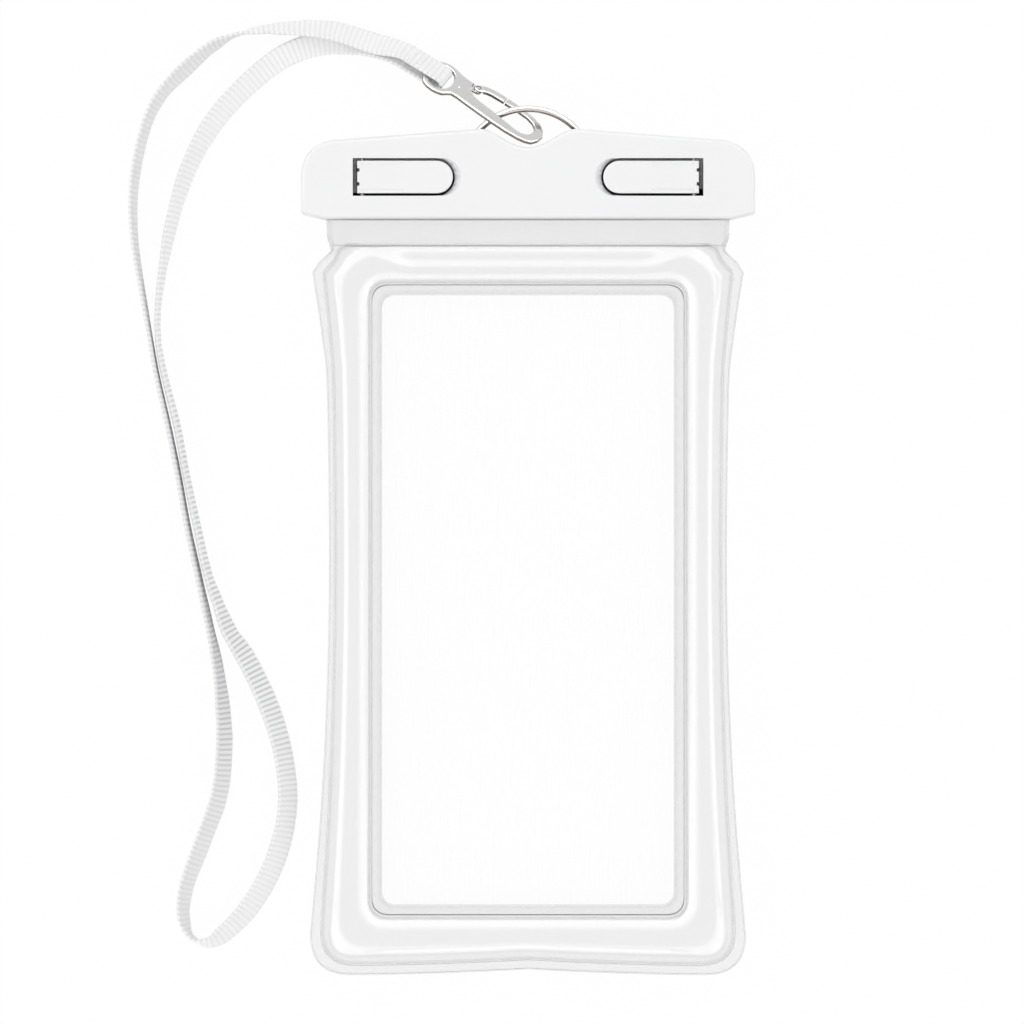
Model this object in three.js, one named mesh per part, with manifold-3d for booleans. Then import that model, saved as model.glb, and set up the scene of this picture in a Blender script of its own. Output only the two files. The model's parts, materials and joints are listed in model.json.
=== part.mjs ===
// Waterproof phone pouch: a clear pouch with an air-filled border, closed by a two-part clip
// with a pair of flip levers, and carried by a flat wrist strap on a snap hook.
// Millimetres. X runs across the pouch, +Y points to the clip, +Z out of the pouch's front.
import * as THREE from 'three';
import { mergeVertices } from 'three/addons/utils/BufferGeometryUtils.js';
import Module from 'manifold-3d';

const wasm = await Module();
wasm.setup();

// Clip bars
const BAR_WIDTH = 120.2;
const BAR_HEIGHT = 23.8;
const BAR_THICKNESS = 14;
const PARTING_GAP = 0.8;
const SHOULDER_DROP = 2.9;
const CORNER_SIZE = 9.6;
const FOOT_LENGTH = 6.3;
const FOOT_RISE = 1.6;
const BAR_ROUNDING = 1.1;
const NOTCH_WIDTH = 25.2;
const NOTCH_DEPTH = 4.9;

// Levers, their windows, pins and catches
const WINDOW_INNER_X = 19.4;
const WINDOW_LENGTH = 27;
const WINDOW_HALF_HEIGHT = 5;
const WINDOW_Y = 11;
const LEVER_CLEARANCE = 0.7;
const LEVER_END_GAP = 1.2;
const LEVER_TIP_GAP = 0.5;
const LEVER_THICKNESS = 3;
const LEVER_RECESS = 0.1;
const SCOOP_LENGTH = 1.7;
const SCOOP_DEPTH = 2.4;
const PIN_RADIUS = 0.6;
const PIN_INSET = 1.3;
const PIN_DEPTH = 1.7;
const PIN_SEAT = 2.2;
const LATCH_WIDTH = 6;
const LATCH_REACH = 1.6;
const LATCH_HOOK = 0.9;
const LATCH_FLOOR = 2.4;
const LATCH_POCKET_LENGTH = 11;

// Seal between the bars
const SEAL_FACE = 1.3;
const SEAL_STRIP_THICKNESS = 2.1;
const SEAL_HALF_LENGTH = 43.5;
const SEAL_DEPTH = 5.1;
const FLAT_MARGIN = 1.6;
const GASKET_WIDTH = 2.2;
const GASKET_CROWN = 0.55;

// Hollows, ribs and guide pegs inside the bars
const BAR_WALL = 2;
const CORE_COUNT = 3;
const CORE_RIB = 1.4;
const CORE_HEIGHT = 9.6;
const CORE_BOTTOM = 7.4;
const PEG_RADIUS = 1.3;
const PEG_HEIGHT = 2.8;
const PEG_INSET = 6.6;

// Pouch films
const PANE_WIDTH = 77.6;
const PANE_LENGTH = 162;
const PANE_CORNER = 4;
const STRIP = 3.1;
const FILM = 0.4;
const CAVITY_OFFSET = 3.9;
const RIM_OFFSET = 0.35;
const MOUTH_WIDTH = 107.8;
const NECK = 6.9;

// Air cushions
const CUSHION_TOP = 10;
const CUSHION_SIDE = 9.3;
const CUSHION_BOTTOM = 12.6;
const CUSHION_CORNER = 9;
const BOTTOM_RISE = 1.5;
const FLARE_BOTTOM = 3.6;
const FLARE_TOP = 3;
const FLANGE = 1.7;
const FLANGE_BOTTOM = 2.9;
const FLANGE_FLARE = 1.4;

// Wire bail
const BAIL_WIRE = 0.95;
const BAIL_RADIUS = 16.5;
const BAIL_HEIGHT = 10.5;
const BAIL_TILT = 28;
const BAIL_PIVOT_INSET = 3.7;
const BAIL_PIVOT_Z = 2.9;
const BAIL_SOCKET_DEPTH = 2.6;
const BAIL_SLOT_INNER = 11.2;
const BAIL_SLOT_OUTER = 17.8;

// Snap hook
const HOOK_THICKNESS = 1.3;
const HOOK_ROUNDING = 0.35;
const HOOK_X = -23;
const HOOK_Y = 37.4;
const HOOK_Z = 6;
const HOOK_HEADING = -31.8;
const HOOK_PITCH = 6;
const HOOK_ROLL = 42;
const RIVET_RADIUS = 0.45;
const LAP_RADIUS = 1.3;

// Strap
const STRAP_WIDTH = 6.4;
const STRAP_THICKNESS = 1;
const STRAP_STEPS = 240;
const FOLD_LENGTH = 9.5;
const FOLD_GAP = 0.3;
const FOLD_SWING_GAP = 1.2;

const FIT = 0.3;
const HALF_THICKNESS = BAR_THICKNESS / 2;
const HALF_GAP = PARTING_GAP / 2;
const FLAT_HALF = SEAL_HALF_LENGTH + FLAT_MARGIN;
const SIDES = { left: -1, right: 1 };
const rad = THREE.MathUtils.degToRad;

const COLOURS = {
  shell: { color: 0xf0f0f2, roughness: 0.42, metalness: 0 },
  film: { color: 0xe4e6e8, roughness: 0.3, metalness: 0, transparent: true, opacity: 0.6 },
  clear: { color: 0xf6f8fa, roughness: 0.06, metalness: 0, transparent: true, opacity: 0.25 },
  cushion: { color: 0xe9ecee, roughness: 0.12, metalness: 0, transparent: true, opacity: 0.55 },
  seal: { color: 0xd9dcde, roughness: 0.6, metalness: 0 },
  nickel: { color: 0xe2e2e4, roughness: 0.18, metalness: 1 },
  steel: { color: 0xb9bbbd, roughness: 0.3, metalness: 1 },
  ribbon: { color: 0xf1f1f1, roughness: 0.85, metalness: 0 },
};

const pouch = new THREE.Group();

function place(name, geometry, colour) {
  const mesh = new THREE.Mesh(geometry, new THREE.MeshStandardMaterial(COLOURS[colour]));
  mesh.name = name;
  pouch.add(mesh);
  return mesh;
}

// Solids from closed geometries, and the geometries of cut or joined solids

function solid(geometry) {
  const bare = geometry.clone();
  bare.deleteAttribute('normal');
  bare.deleteAttribute('uv');
  const merged = mergeVertices(bare, 1e-4);
  return new wasm.Manifold(new wasm.Mesh({
    numProp: 3,
    vertProperties: new Float32Array(merged.getAttribute('position').array),
    triVerts: new Uint32Array(merged.getIndex().array),
  }));
}

function geometryOf(body) {
  const mesh = body.getMesh();
  const geometry = new THREE.BufferGeometry();
  geometry.setAttribute('position', new THREE.BufferAttribute(mesh.vertProperties, 3));
  geometry.setIndex(new THREE.BufferAttribute(mesh.triVerts, 1));
  geometry.computeVertexNormals();
  return geometry;
}

function block(x0, x1, y0, y1, z0, z1) {
  const geometry = new THREE.BoxGeometry(Math.abs(x1 - x0), Math.abs(y1 - y0), Math.abs(z1 - z0));
  return geometry.translate((x0 + x1) / 2, (y0 + y1) / 2, (z0 + z1) / 2);
}

function rod(radius, from, to, sides = 12) {
  const axis = to.clone().sub(from);
  const geometry = new THREE.CylinderGeometry(radius, radius, axis.length(), sides);
  const turn = new THREE.Quaternion().setFromUnitVectors(new THREE.Vector3(0, 1, 0), axis.normalize());
  return geometry.applyQuaternion(turn).translate(
    (from.x + to.x) / 2,
    (from.y + to.y) / 2,
    (from.z + to.z) / 2,
  );
}

function slab(shape, z0, z1, rounding = 0, curveSegments = 6) {
  const bevel = rounding > 0;
  const geometry = new THREE.ExtrudeGeometry(shape, {
    depth: z1 - z0 - 2 * rounding,
    bevelEnabled: bevel,
    bevelSize: rounding,
    bevelOffset: -rounding,
    bevelThickness: rounding,
    bevelSegments: 3,
    curveSegments,
  });
  return geometry.translate(0, 0, z0 + rounding);
}

// A profile drawn in X and Z, extruded along Y
function beam(points, y0, y1) {
  const shape = new THREE.Shape(points.map(([x, z]) => new THREE.Vector2(x, z)));
  const geometry = new THREE.ExtrudeGeometry(shape, { depth: y1 - y0, bevelEnabled: false });
  return geometry.rotateX(Math.PI / 2).translate(0, y1, 0);
}

// A sheet between two grids of points, closed round its edges; rows wrap when the sheet is a ring
function sheet(upper, lower, wrap) {
  const rows = upper.length;
  const columns = upper[0].length;
  const positions = [...upper.flat(), ...lower.flat()].flatMap((p) => [p.x, p.y, p.z]);
  const index = [];
  const top = (row, column) => (row % rows) * columns + column;
  const under = (row, column) => rows * columns + top(row, column);
  const quad = (a, b, c, d) => index.push(a, b, c, a, c, d);
  for (let row = 0; row < (wrap ? rows : rows - 1); row += 1) {
    for (let column = 0; column < columns - 1; column += 1) {
      quad(top(row, column), top(row + 1, column), top(row + 1, column + 1), top(row, column + 1));
      quad(under(row, column), under(row, column + 1), under(row + 1, column + 1), under(row + 1, column));
    }
    quad(top(row, 0), under(row, 0), under(row + 1, 0), top(row + 1, 0));
    const last = columns - 1;
    quad(top(row, last), top(row + 1, last), under(row + 1, last), under(row, last));
  }
  if (!wrap) {
    for (let column = 0; column < columns - 1; column += 1) {
      const end = rows - 1;
      quad(top(0, column), top(0, column + 1), under(0, column + 1), under(0, column));
      quad(top(end, column), under(end, column), under(end, column + 1), top(end, column + 1));
    }
  }
  const geometry = new THREE.BufferGeometry();
  geometry.setAttribute('position', new THREE.Float32BufferAttribute(positions, 3));
  geometry.setIndex(index);
  return facingOut(geometry);
}

function facingOut(geometry) {
  const position = geometry.getAttribute('position');
  const index = geometry.getIndex();
  const [a, b, c] = [new THREE.Vector3(), new THREE.Vector3(), new THREE.Vector3()];
  let volume = 0;
  for (let i = 0; i < index.count; i += 3) {
    a.fromBufferAttribute(position, index.getX(i));
    b.fromBufferAttribute(position, index.getX(i + 1));
    c.fromBufferAttribute(position, index.getX(i + 2));
    volume += a.dot(b.cross(c));
  }
  if (volume < 0) {
    for (let i = 0; i < index.count; i += 3) {
      const second = index.getX(i + 1);
      index.setX(i + 1, index.getX(i + 2));
      index.setX(i + 2, second);
    }
  }
  geometry.computeVertexNormals();
  return geometry;
}

// Clip bars: one outline, split at the parting plane into a rear and a front moulding

function barOutline() {
  const half = BAR_WIDTH / 2;
  const corner = BAR_HEIGHT - SHOULDER_DROP;
  const foot = half - FOOT_LENGTH;
  const notch = NOTCH_WIDTH / 2;
  const floor = BAR_HEIGHT - NOTCH_DEPTH;
  const shape = new THREE.Shape();
  shape.moveTo(-foot, 0);
  shape.lineTo(foot, 0);
  shape.lineTo(half, FOOT_RISE - 0.1);
  shape.lineTo(half, corner - CORNER_SIZE);
  shape.bezierCurveTo(
    half, corner - CORNER_SIZE * 0.42,
    half - CORNER_SIZE * 0.38, corner - 0.3,
    half - CORNER_SIZE, corner,
  );
  shape.lineTo(notch, BAR_HEIGHT);
  shape.bezierCurveTo(notch * 0.67, BAR_HEIGHT - 0.2, notch * 0.4, floor, 0, floor);
  shape.bezierCurveTo(-notch * 0.4, floor, -notch * 0.67, BAR_HEIGHT - 0.2, -notch, BAR_HEIGHT);
  shape.lineTo(CORNER_SIZE - half, corner);
  shape.bezierCurveTo(
    CORNER_SIZE * 0.38 - half, corner - 0.3,
    -half, corner - CORNER_SIZE * 0.42,
    -half, corner - CORNER_SIZE,
  );
  shape.lineTo(-half, FOOT_RISE - 0.1);
  shape.lineTo(-foot, 0);
  return shape;
}

const PARTING = { rear: HALF_THICKNESS - HALF_GAP, front: HALF_THICKNESS + HALF_GAP };
const barBody = solid(slab(barOutline(), 0, BAR_THICKNESS, BAR_ROUNDING, 10));

// The channel takes both films and their clamp strips; its ends taper where the films close up
function channel(side) {
  const mouth = MOUTH_WIDTH / 2 + 2 * FIT;
  const deep = CAVITY_OFFSET + FILM / 2 + FIT;
  const shallow = RIM_OFFSET + FILM / 2 + 1.5 * FIT;
  const profile = [
    [-mouth, -1],
    [mouth, -1],
    [mouth, shallow],
    [FLAT_HALF, deep],
    [-FLAT_HALF, deep],
    [-mouth, shallow],
  ];
  const points = profile.map(([x, offset]) => [x, HALF_THICKNESS + side * offset]);
  return solid(beam(points, -1, SEAL_DEPTH + FIT));
}

// Hollows from the parting face, with ribs left between them
function coreHollows(z0, z1) {
  const span = 2 * (WINDOW_INNER_X - BAR_WALL);
  const width = (span - (CORE_COUNT - 1) * CORE_RIB) / CORE_COUNT;
  const hollows = [];
  for (let i = 0; i < CORE_COUNT; i += 1) {
    const x = -span / 2 + i * (width + CORE_RIB);
    hollows.push(solid(block(x, x + width, CORE_BOTTOM, CORE_BOTTOM + CORE_HEIGHT, z0, z1)));
  }
  return hollows;
}

function windowShape(inset, endInset, tipInset) {
  const shape = new THREE.Shape();
  const half = WINDOW_HALF_HEIGHT - inset;
  const flat = WINDOW_INNER_X + WINDOW_LENGTH - endInset;
  const centre = WINDOW_INNER_X + WINDOW_HALF_HEIGHT + (tipInset - inset);
  shape.moveTo(centre, WINDOW_Y - half);
  shape.lineTo(flat, WINDOW_Y - half);
  shape.lineTo(flat, WINDOW_Y + half);
  shape.lineTo(centre, WINDOW_Y + half);
  shape.absarc(centre, WINDOW_Y, half, Math.PI / 2, (3 * Math.PI) / 2, false);
  return shape;
}

// Right-hand geometry is drawn once and mirrored for the left
function mirrored(geometry, side) {
  if (side > 0) {
    return geometry;
  }
  const twin = geometry.index ? geometry.toNonIndexed() : geometry.clone();
  twin.scale(-1, 1, 1);
  const position = twin.getAttribute('position');
  const [a, b] = [new THREE.Vector3(), new THREE.Vector3()];
  for (let i = 0; i < position.count; i += 3) {
    a.fromBufferAttribute(position, i + 1);
    b.fromBufferAttribute(position, i + 2);
    position.setXYZ(i + 1, b.x, b.y, b.z);
    position.setXYZ(i + 2, a.x, a.y, a.z);
  }
  return twin;
}

const PIN_X = WINDOW_INNER_X + WINDOW_LENGTH - LEVER_END_GAP - PIN_INSET;
const PIN_Z = BAR_THICKNESS - PIN_DEPTH;
const LATCH_TIP_X = PIN_X + 0.4 + LATCH_HOOK;
const PEG_X = BAR_WIDTH / 2 - PEG_INSET;

// The window's round end is scooped for a fingertip by a leaning cylinder
function fingerScoop() {
  const sides = 24;
  const centre = WINDOW_INNER_X + WINDOW_HALF_HEIGHT;
  const over = 0.1;
  const height = SCOOP_DEPTH + over;
  const geometry = new THREE.CylinderGeometry(WINDOW_HALF_HEIGHT, WINDOW_HALF_HEIGHT, height, sides);
  geometry.rotateX(Math.PI / 2);
  const lean = new THREE.Matrix4().makeShear(0, 0, 0, 0, -SCOOP_LENGTH / SCOOP_DEPTH, 0);
  geometry.applyMatrix4(lean);
  const shift = (SCOOP_LENGTH * height) / (2 * SCOOP_DEPTH);
  return geometry.translate(centre - shift, WINDOW_Y, BAR_THICKNESS - SCOOP_DEPTH + height / 2);
}

function pinBetween(radius, reach, x = PIN_X, sides = 12) {
  const from = new THREE.Vector3(x, WINDOW_Y - WINDOW_HALF_HEIGHT - reach, PIN_Z);
  const to = new THREE.Vector3(x, WINDOW_Y + WINDOW_HALF_HEIGHT + reach, PIN_Z);
  return rod(radius, from, to, sides);
}

function frontBar() {
  let bar = barBody.intersect(solid(block(-200, 200, -50, 80, PARTING.front, BAR_THICKNESS + 1)));
  bar = bar.subtract(channel(1));
  for (const side of Object.values(SIDES)) {
    const cuts = [
      slab(windowShape(0, 0, 0), PARTING.front - 1, BAR_THICKNESS + 1, 0, 10),
      fingerScoop(),
      pinBetween(PIN_RADIUS + FIT, PIN_SEAT),
      rod(
        PEG_RADIUS + FIT,
        new THREE.Vector3(PEG_X, WINDOW_Y, PARTING.front - 1),
        new THREE.Vector3(PEG_X, WINDOW_Y, PARTING.rear + PEG_HEIGHT + FIT),
      ),
    ];
    for (const cut of cuts) {
      bar = bar.subtract(solid(mirrored(cut, side)));
    }
  }
  for (const hollow of coreHollows(PARTING.front - 1, BAR_THICKNESS - BAR_WALL)) {
    bar = bar.subtract(hollow);
  }
  return bar;
}

const BAIL_PIVOT_Y = BAR_HEIGHT - BAIL_PIVOT_INSET;

function rearBar() {
  let bar = barBody.intersect(solid(block(-200, 200, -50, 80, -1, PARTING.rear)));
  bar = bar.subtract(channel(-1));
  for (const side of Object.values(SIDES)) {
    const lipX = LATCH_TIP_X + FIT;
    const pocketX = lipX + LATCH_HOOK + 0.8;
    const halfWidth = LATCH_WIDTH / 2 + 2 * FIT;
    const socket = BAIL_SLOT_OUTER + BAIL_SOCKET_DEPTH;
    const cuts = [
      block(
        pocketX - LATCH_POCKET_LENGTH, lipX,
        WINDOW_Y - halfWidth, WINDOW_Y + halfWidth,
        LATCH_FLOOR, PARTING.rear + 1,
      ),
      block(
        lipX - 1, pocketX,
        WINDOW_Y - halfWidth, WINDOW_Y + halfWidth,
        LATCH_FLOOR, PARTING.rear - 1.1,
      ),
      block(
        BAIL_SLOT_INNER, BAIL_SLOT_OUTER,
        BAIL_PIVOT_Y - BAIL_WIRE - 2 * FIT, BAR_HEIGHT + 2,
        -1, PARTING.rear + 1,
      ),
      rod(
        BAIL_WIRE + FIT,
        new THREE.Vector3(BAIL_SLOT_OUTER - 1, BAIL_PIVOT_Y, BAIL_PIVOT_Z),
        new THREE.Vector3(socket, BAIL_PIVOT_Y, BAIL_PIVOT_Z),
      ),
    ];
    for (const cut of cuts) {
      bar = bar.subtract(solid(mirrored(cut, side)));
    }
    const peg = rod(
      PEG_RADIUS,
      new THREE.Vector3(PEG_X, WINDOW_Y, BAR_WALL),
      new THREE.Vector3(PEG_X, WINDOW_Y, PARTING.rear + PEG_HEIGHT),
    );
    bar = bar.add(solid(mirrored(peg, side)));
  }
  for (const hollow of coreHollows(BAR_WALL, PARTING.rear + 1)) {
    bar = bar.subtract(hollow);
  }
  return bar;
}

place('rear_bar', geometryOf(rearBar()), 'shell');
place('front_bar', geometryOf(frontBar()), 'shell');

// A flip lever: a domed-end plate with split knuckles on its pin and a latch arm under them
function lever() {
  const top = BAR_THICKNESS - LEVER_RECESS;
  const bottom = top - LEVER_THICKNESS;
  const flatEnd = WINDOW_INNER_X + WINDOW_LENGTH - LEVER_END_GAP;
  let body = solid(slab(windowShape(LEVER_CLEARANCE, LEVER_END_GAP, LEVER_TIP_GAP), bottom, top, 0.35, 8));
  const half = WINDOW_HALF_HEIGHT - LEVER_CLEARANCE;
  const stepX = WINDOW_INNER_X + WINDOW_LENGTH / 2;
  for (const edge of [-1, 1]) {
    const stepY = WINDOW_Y + edge * (half - 1.1);
    const notchY = WINDOW_Y + edge * 1.85;
    body = body.subtract(solid(block(stepX, flatEnd - 1.2, stepY, stepY + edge * 2, top - 0.3, top + 1)));
    body = body.subtract(solid(block(flatEnd - 0.6, flatEnd + 1, notchY - 0.45, notchY + 0.45, bottom - 1, top + 1)));
  }
  const armOuter = PIN_X + 0.4;
  const arm = [
    [armOuter - LATCH_REACH, bottom + 1],
    [armOuter - LATCH_REACH, LATCH_FLOOR + 4 * FIT],
    [armOuter + LATCH_HOOK - 0.5, LATCH_FLOOR + 4 * FIT],
    [LATCH_TIP_X, LATCH_FLOOR + 4 * FIT + 0.6],
    [LATCH_TIP_X, PARTING.rear - 1.1 - FIT],
    [armOuter, PARTING.rear - 1.1 - FIT],
    [armOuter, bottom + 1],
  ];
  body = body.add(solid(beam(arm, WINDOW_Y - LATCH_WIDTH / 2, WINDOW_Y + LATCH_WIDTH / 2)));
  return body.subtract(solid(pinBetween(PIN_RADIUS + FIT, 1)));
}

const leverBody = geometryOf(lever());
for (const [name, side] of Object.entries(SIDES)) {
  place(`lever_${name}`, mirrored(leverBody, side), 'shell');
  place(`lever_pin_${name}`, mirrored(pinBetween(PIN_RADIUS, PIN_SEAT - FIT), side), 'steel');
}

// Clamp strips hold the mouth of each film in its bar; the rear one carries the soft gasket
const STRIP_Y0 = 1.2;

function clampStrip(side) {
  const outer = SEAL_FACE + SEAL_STRIP_THICKNESS;
  const profile = [
    [-SEAL_HALF_LENGTH, SEAL_FACE],
    [SEAL_HALF_LENGTH, SEAL_FACE],
    [SEAL_HALF_LENGTH, outer],
    [-SEAL_HALF_LENGTH, outer],
  ];
  const points = profile.map(([x, offset]) => [x, HALF_THICKNESS + side * offset]);
  return solid(beam(points, STRIP_Y0, SEAL_DEPTH));
}

const GASKET_Y = (STRIP_Y0 + SEAL_DEPTH) / 2;
const GASKET_GROOVE = 1;

function gasketGroove() {
  const half = GASKET_WIDTH / 2 + FIT;
  const face = HALF_THICKNESS - SEAL_FACE;
  return solid(block(
    1 - SEAL_HALF_LENGTH, SEAL_HALF_LENGTH - 1,
    GASKET_Y - half, GASKET_Y + half,
    face - GASKET_GROOVE, face + 1,
  ));
}

// The front strip's rib presses into the gasket
function sealRib() {
  const half = GASKET_WIDTH / 4;
  const tip = HALF_THICKNESS - GASKET_CROWN + FIT;
  return solid(block(
    1 - SEAL_HALF_LENGTH, SEAL_HALF_LENGTH - 1,
    GASKET_Y - half, GASKET_Y + half,
    tip, HALF_THICKNESS + SEAL_FACE + 0.5,
  ));
}

// Gasket section: a flat foot with a half-round crown, extruded along X
function gasket() {
  const half = GASKET_WIDTH / 2;
  const floor = HALF_THICKNESS - SEAL_FACE - GASKET_GROOVE + FIT;
  const crown = HALF_THICKNESS - GASKET_CROWN;
  const section = new THREE.Shape();
  section.moveTo(-half, floor);
  section.lineTo(half, floor);
  section.lineTo(half, crown - half);
  section.absarc(0, crown - half, half, 0, Math.PI, false);
  const length = 2 * (SEAL_HALF_LENGTH - 1 - FIT);
  const geometry = new THREE.ExtrudeGeometry(section, { depth: length, bevelEnabled: false, curveSegments: 6 });
  geometry.rotateX(Math.PI / 2).rotateZ(Math.PI / 2);
  return geometry.translate(-length / 2, GASKET_Y, 0);
}

place('rear_clamp_strip', geometryOf(clampStrip(-1).subtract(gasketGroove())), 'seal');
place('front_clamp_strip', geometryOf(clampStrip(1).add(sealRib())), 'seal');
place('mouth_gasket', gasket(), 'seal');

// Pouch contours. Each is a loop of stations that starts at the bottom centre and runs
// anticlockwise; stations with the same number lie opposite each other on every contour.

const PANE_TOP = -NECK - CUSHION_TOP - STRIP;
const PANE_BOTTOM = PANE_TOP - PANE_LENGTH;
const INNER_HALF = PANE_WIDTH / 2 + STRIP;
const OUTER_HALF = INNER_HALF + CUSHION_SIDE;
const OUTER_BOTTOM = PANE_BOTTOM - STRIP - CUSHION_BOTTOM;
const STATIONS = { bottom: 4, bottomCorner: 5, side: 9, shoulder: 4, neck: 1, top: 4 };

function loop(curves) {
  const right = [];
  for (const [name, curve] of Object.entries(curves)) {
    right.push(...curve.getSpacedPoints(STATIONS[name]).slice(0, -1));
  }
  const centreTop = curves.top.getPoint(1);
  const left = right.slice(1).map((p) => new THREE.Vector2(-p.x, p.y)).reverse();
  return [...right, centreTop, ...left];
}

function line(x0, y0, x1, y1) {
  return new THREE.LineCurve(new THREE.Vector2(x0, y0), new THREE.Vector2(x1, y1));
}

function bend(x0, y0, cx, cy, x1, y1) {
  const [from, control, to] = [[x0, y0], [cx, cy], [x1, y1]].map((p) => new THREE.Vector2(...p));
  return new THREE.QuadraticBezierCurve(from, control, to);
}

function roundedLoop(half, bottom, top, corner) {
  return loop({
    bottom: line(0, bottom, half - corner, bottom),
    bottomCorner: bend(half - corner, bottom, half, bottom, half, bottom + corner),
    side: line(half, bottom + corner, half, top - corner),
    shoulder: bend(half, top - corner, half, top, half - corner, top),
    neck: line(half - corner, top, half - 2 * corner, top),
    top: line(half - 2 * corner, top, 0, top),
  });
}

// The sides draw in at the waist and flare to the bottom corners and the shoulders
const SIDE_FLARE = [[1, 0], [0.34, 0.23], [0, 0.5], [0.1, 0.81]];

function sideCurve(half, bottomFlare, topFlare, bottom, top) {
  const points = SIDE_FLARE.map(([share, height]) => new THREE.Vector2(
    half + share * (height > 0.5 ? topFlare : bottomFlare),
    bottom + height * (top - bottom),
  ));
  points.push(new THREE.Vector2(half + 0.4 * topFlare, top - 0.1 * (top - bottom)));
  points.push(new THREE.Vector2(half + topFlare, top));
  return new THREE.SplineCurve(points);
}

const SHOULDER = 7.2;

function cushionLoop() {
  const shoulderY = -NECK - SHOULDER;
  const bottom = OUTER_BOTTOM;
  const wide = OUTER_HALF + FLARE_BOTTOM;
  const high = OUTER_HALF + FLARE_TOP;
  const neckX = MOUTH_WIDTH / 2 - 5.6;
  const flatX = FLAT_HALF - 0.9;
  return loop({
    bottom: bend(0, bottom + BOTTOM_RISE, wide / 2, bottom, wide - CUSHION_CORNER, bottom),
    bottomCorner: bend(wide - CUSHION_CORNER, bottom, wide, bottom, wide, bottom + CUSHION_CORNER),
    side: sideCurve(OUTER_HALF, FLARE_BOTTOM, FLARE_TOP, bottom + CUSHION_CORNER, shoulderY),
    shoulder: new THREE.SplineCurve([
      new THREE.Vector2(high, shoulderY),
      new THREE.Vector2(high - 3, shoulderY + 3.5),
      new THREE.Vector2(neckX + 1.6, -NECK - 0.9),
      new THREE.Vector2(neckX - 0.5, -NECK),
    ]),
    neck: line(neckX - 0.5, -NECK, flatX, -NECK),
    top: line(flatX, -NECK, 0, -NECK),
  });
}

// The outer edge of the films: down the flange, and up to the given height at the mouth
function filmLoop(mouthY) {
  const shoulderY = -NECK - SHOULDER;
  const half = OUTER_HALF + FLANGE;
  const wide = half + FLARE_BOTTOM + FLANGE_FLARE;
  const high = half + FLARE_TOP + FLANGE_FLARE;
  const bottom = OUTER_BOTTOM - FLANGE_BOTTOM;
  const corner = CUSHION_CORNER + FLANGE;
  const waist = new THREE.Vector2(MOUTH_WIDTH / 2 - 1.7, -NECK - 1.3);
  const neck = mouthY > 0
    ? [new THREE.Vector2(MOUTH_WIDTH / 2 - 0.6, -NECK + 1.6), new THREE.Vector2(MOUTH_WIDTH / 2, mouthY)]
    : [new THREE.Vector2(MOUTH_WIDTH / 2 - 1.2, mouthY)];
  return loop({
    bottom: bend(0, bottom + BOTTOM_RISE, wide / 2, bottom, wide - corner, bottom),
    bottomCorner: bend(wide - corner, bottom, wide, bottom, wide, bottom + corner),
    side: sideCurve(half, FLARE_BOTTOM + FLANGE_FLARE, FLARE_TOP + FLANGE_FLARE, bottom + corner, shoulderY),
    shoulder: polyline([
      new THREE.Vector2(high, shoulderY),
      new THREE.Vector2(high - 1.7, shoulderY + 2.8),
      waist,
      ...neck,
    ]),
    neck: line(neck[neck.length - 1].x, mouthY, FLAT_HALF, mouthY),
    top: line(FLAT_HALF, mouthY, 0, mouthY),
  });
}

function polyline(points) {
  const path = new THREE.CurvePath();
  for (let i = 1; i < points.length; i += 1) {
    path.add(new THREE.LineCurve(points[i - 1], points[i]));
  }
  return path;
}

const smooth = (value) => THREE.MathUtils.smoothstep(value, 0, 1);
const mix = THREE.MathUtils.lerp;
const innerLoop = roundedLoop(INNER_HALF, PANE_BOTTOM - STRIP, PANE_TOP + STRIP, PANE_CORNER + 1);
const outerLoop = cushionLoop();
const TOP_STATION = outerLoop.length / 2;

// The films meet along the sides and the bottom, and stay open across the mouth
function closing(station) {
  const fromTop = Math.abs(station - TOP_STATION);
  const past = (Math.abs(outerLoop[station].x) - SEAL_HALF_LENGTH) / 6.5;
  return fromTop > STATIONS.top + STATIONS.neck ? 1 : smooth(past);
}

function filmOffset(share, station) {
  const fold = smooth((share - 0.45) / 0.55) * closing(station);
  return mix(CAVITY_OFFSET, RIM_OFFSET, fold);
}

// At the mouth the films lie flat along the seal and close towards its ends
function edgeOffset(point) {
  const atMouth = point.y > -NECK - 0.5 ? 1 : 0;
  const past = (Math.abs(point.x) - FLAT_HALF) / (MOUTH_WIDTH / 2 - 2 - FLAT_HALF);
  return mix(CAVITY_OFFSET, RIM_OFFSET, Math.max(1 - atMouth, smooth(past)));
}

function between(station, share) {
  return innerLoop[station].clone().lerp(outerLoop[station], share);
}

function raised(point, side, offset) {
  return new THREE.Vector3(point.x, point.y, HALF_THICKNESS + side * offset);
}

// A film with its pane opening, its folded border and its flat flange
function film(side, mouthY) {
  const opening = roundedLoop(PANE_WIDTH / 2, PANE_BOTTOM, PANE_TOP, PANE_CORNER);
  const edge = filmLoop(mouthY);
  const surface = (lift) => outerLoop.map((outer, station) => [
    raised(opening[station], side, CAVITY_OFFSET + lift),
    ...[0, 0.45, 0.64, 0.82].map((share) => raised(
      between(station, share),
      side,
      filmOffset(share, station) + lift,
    )),
    raised(outer, side, filmOffset(1, station) + lift),
    raised(edge[station], side, edgeOffset(edge[station]) + lift),
  ]);
  return sheet(surface(FILM / 2), surface(-FILM / 2), true);
}

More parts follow.
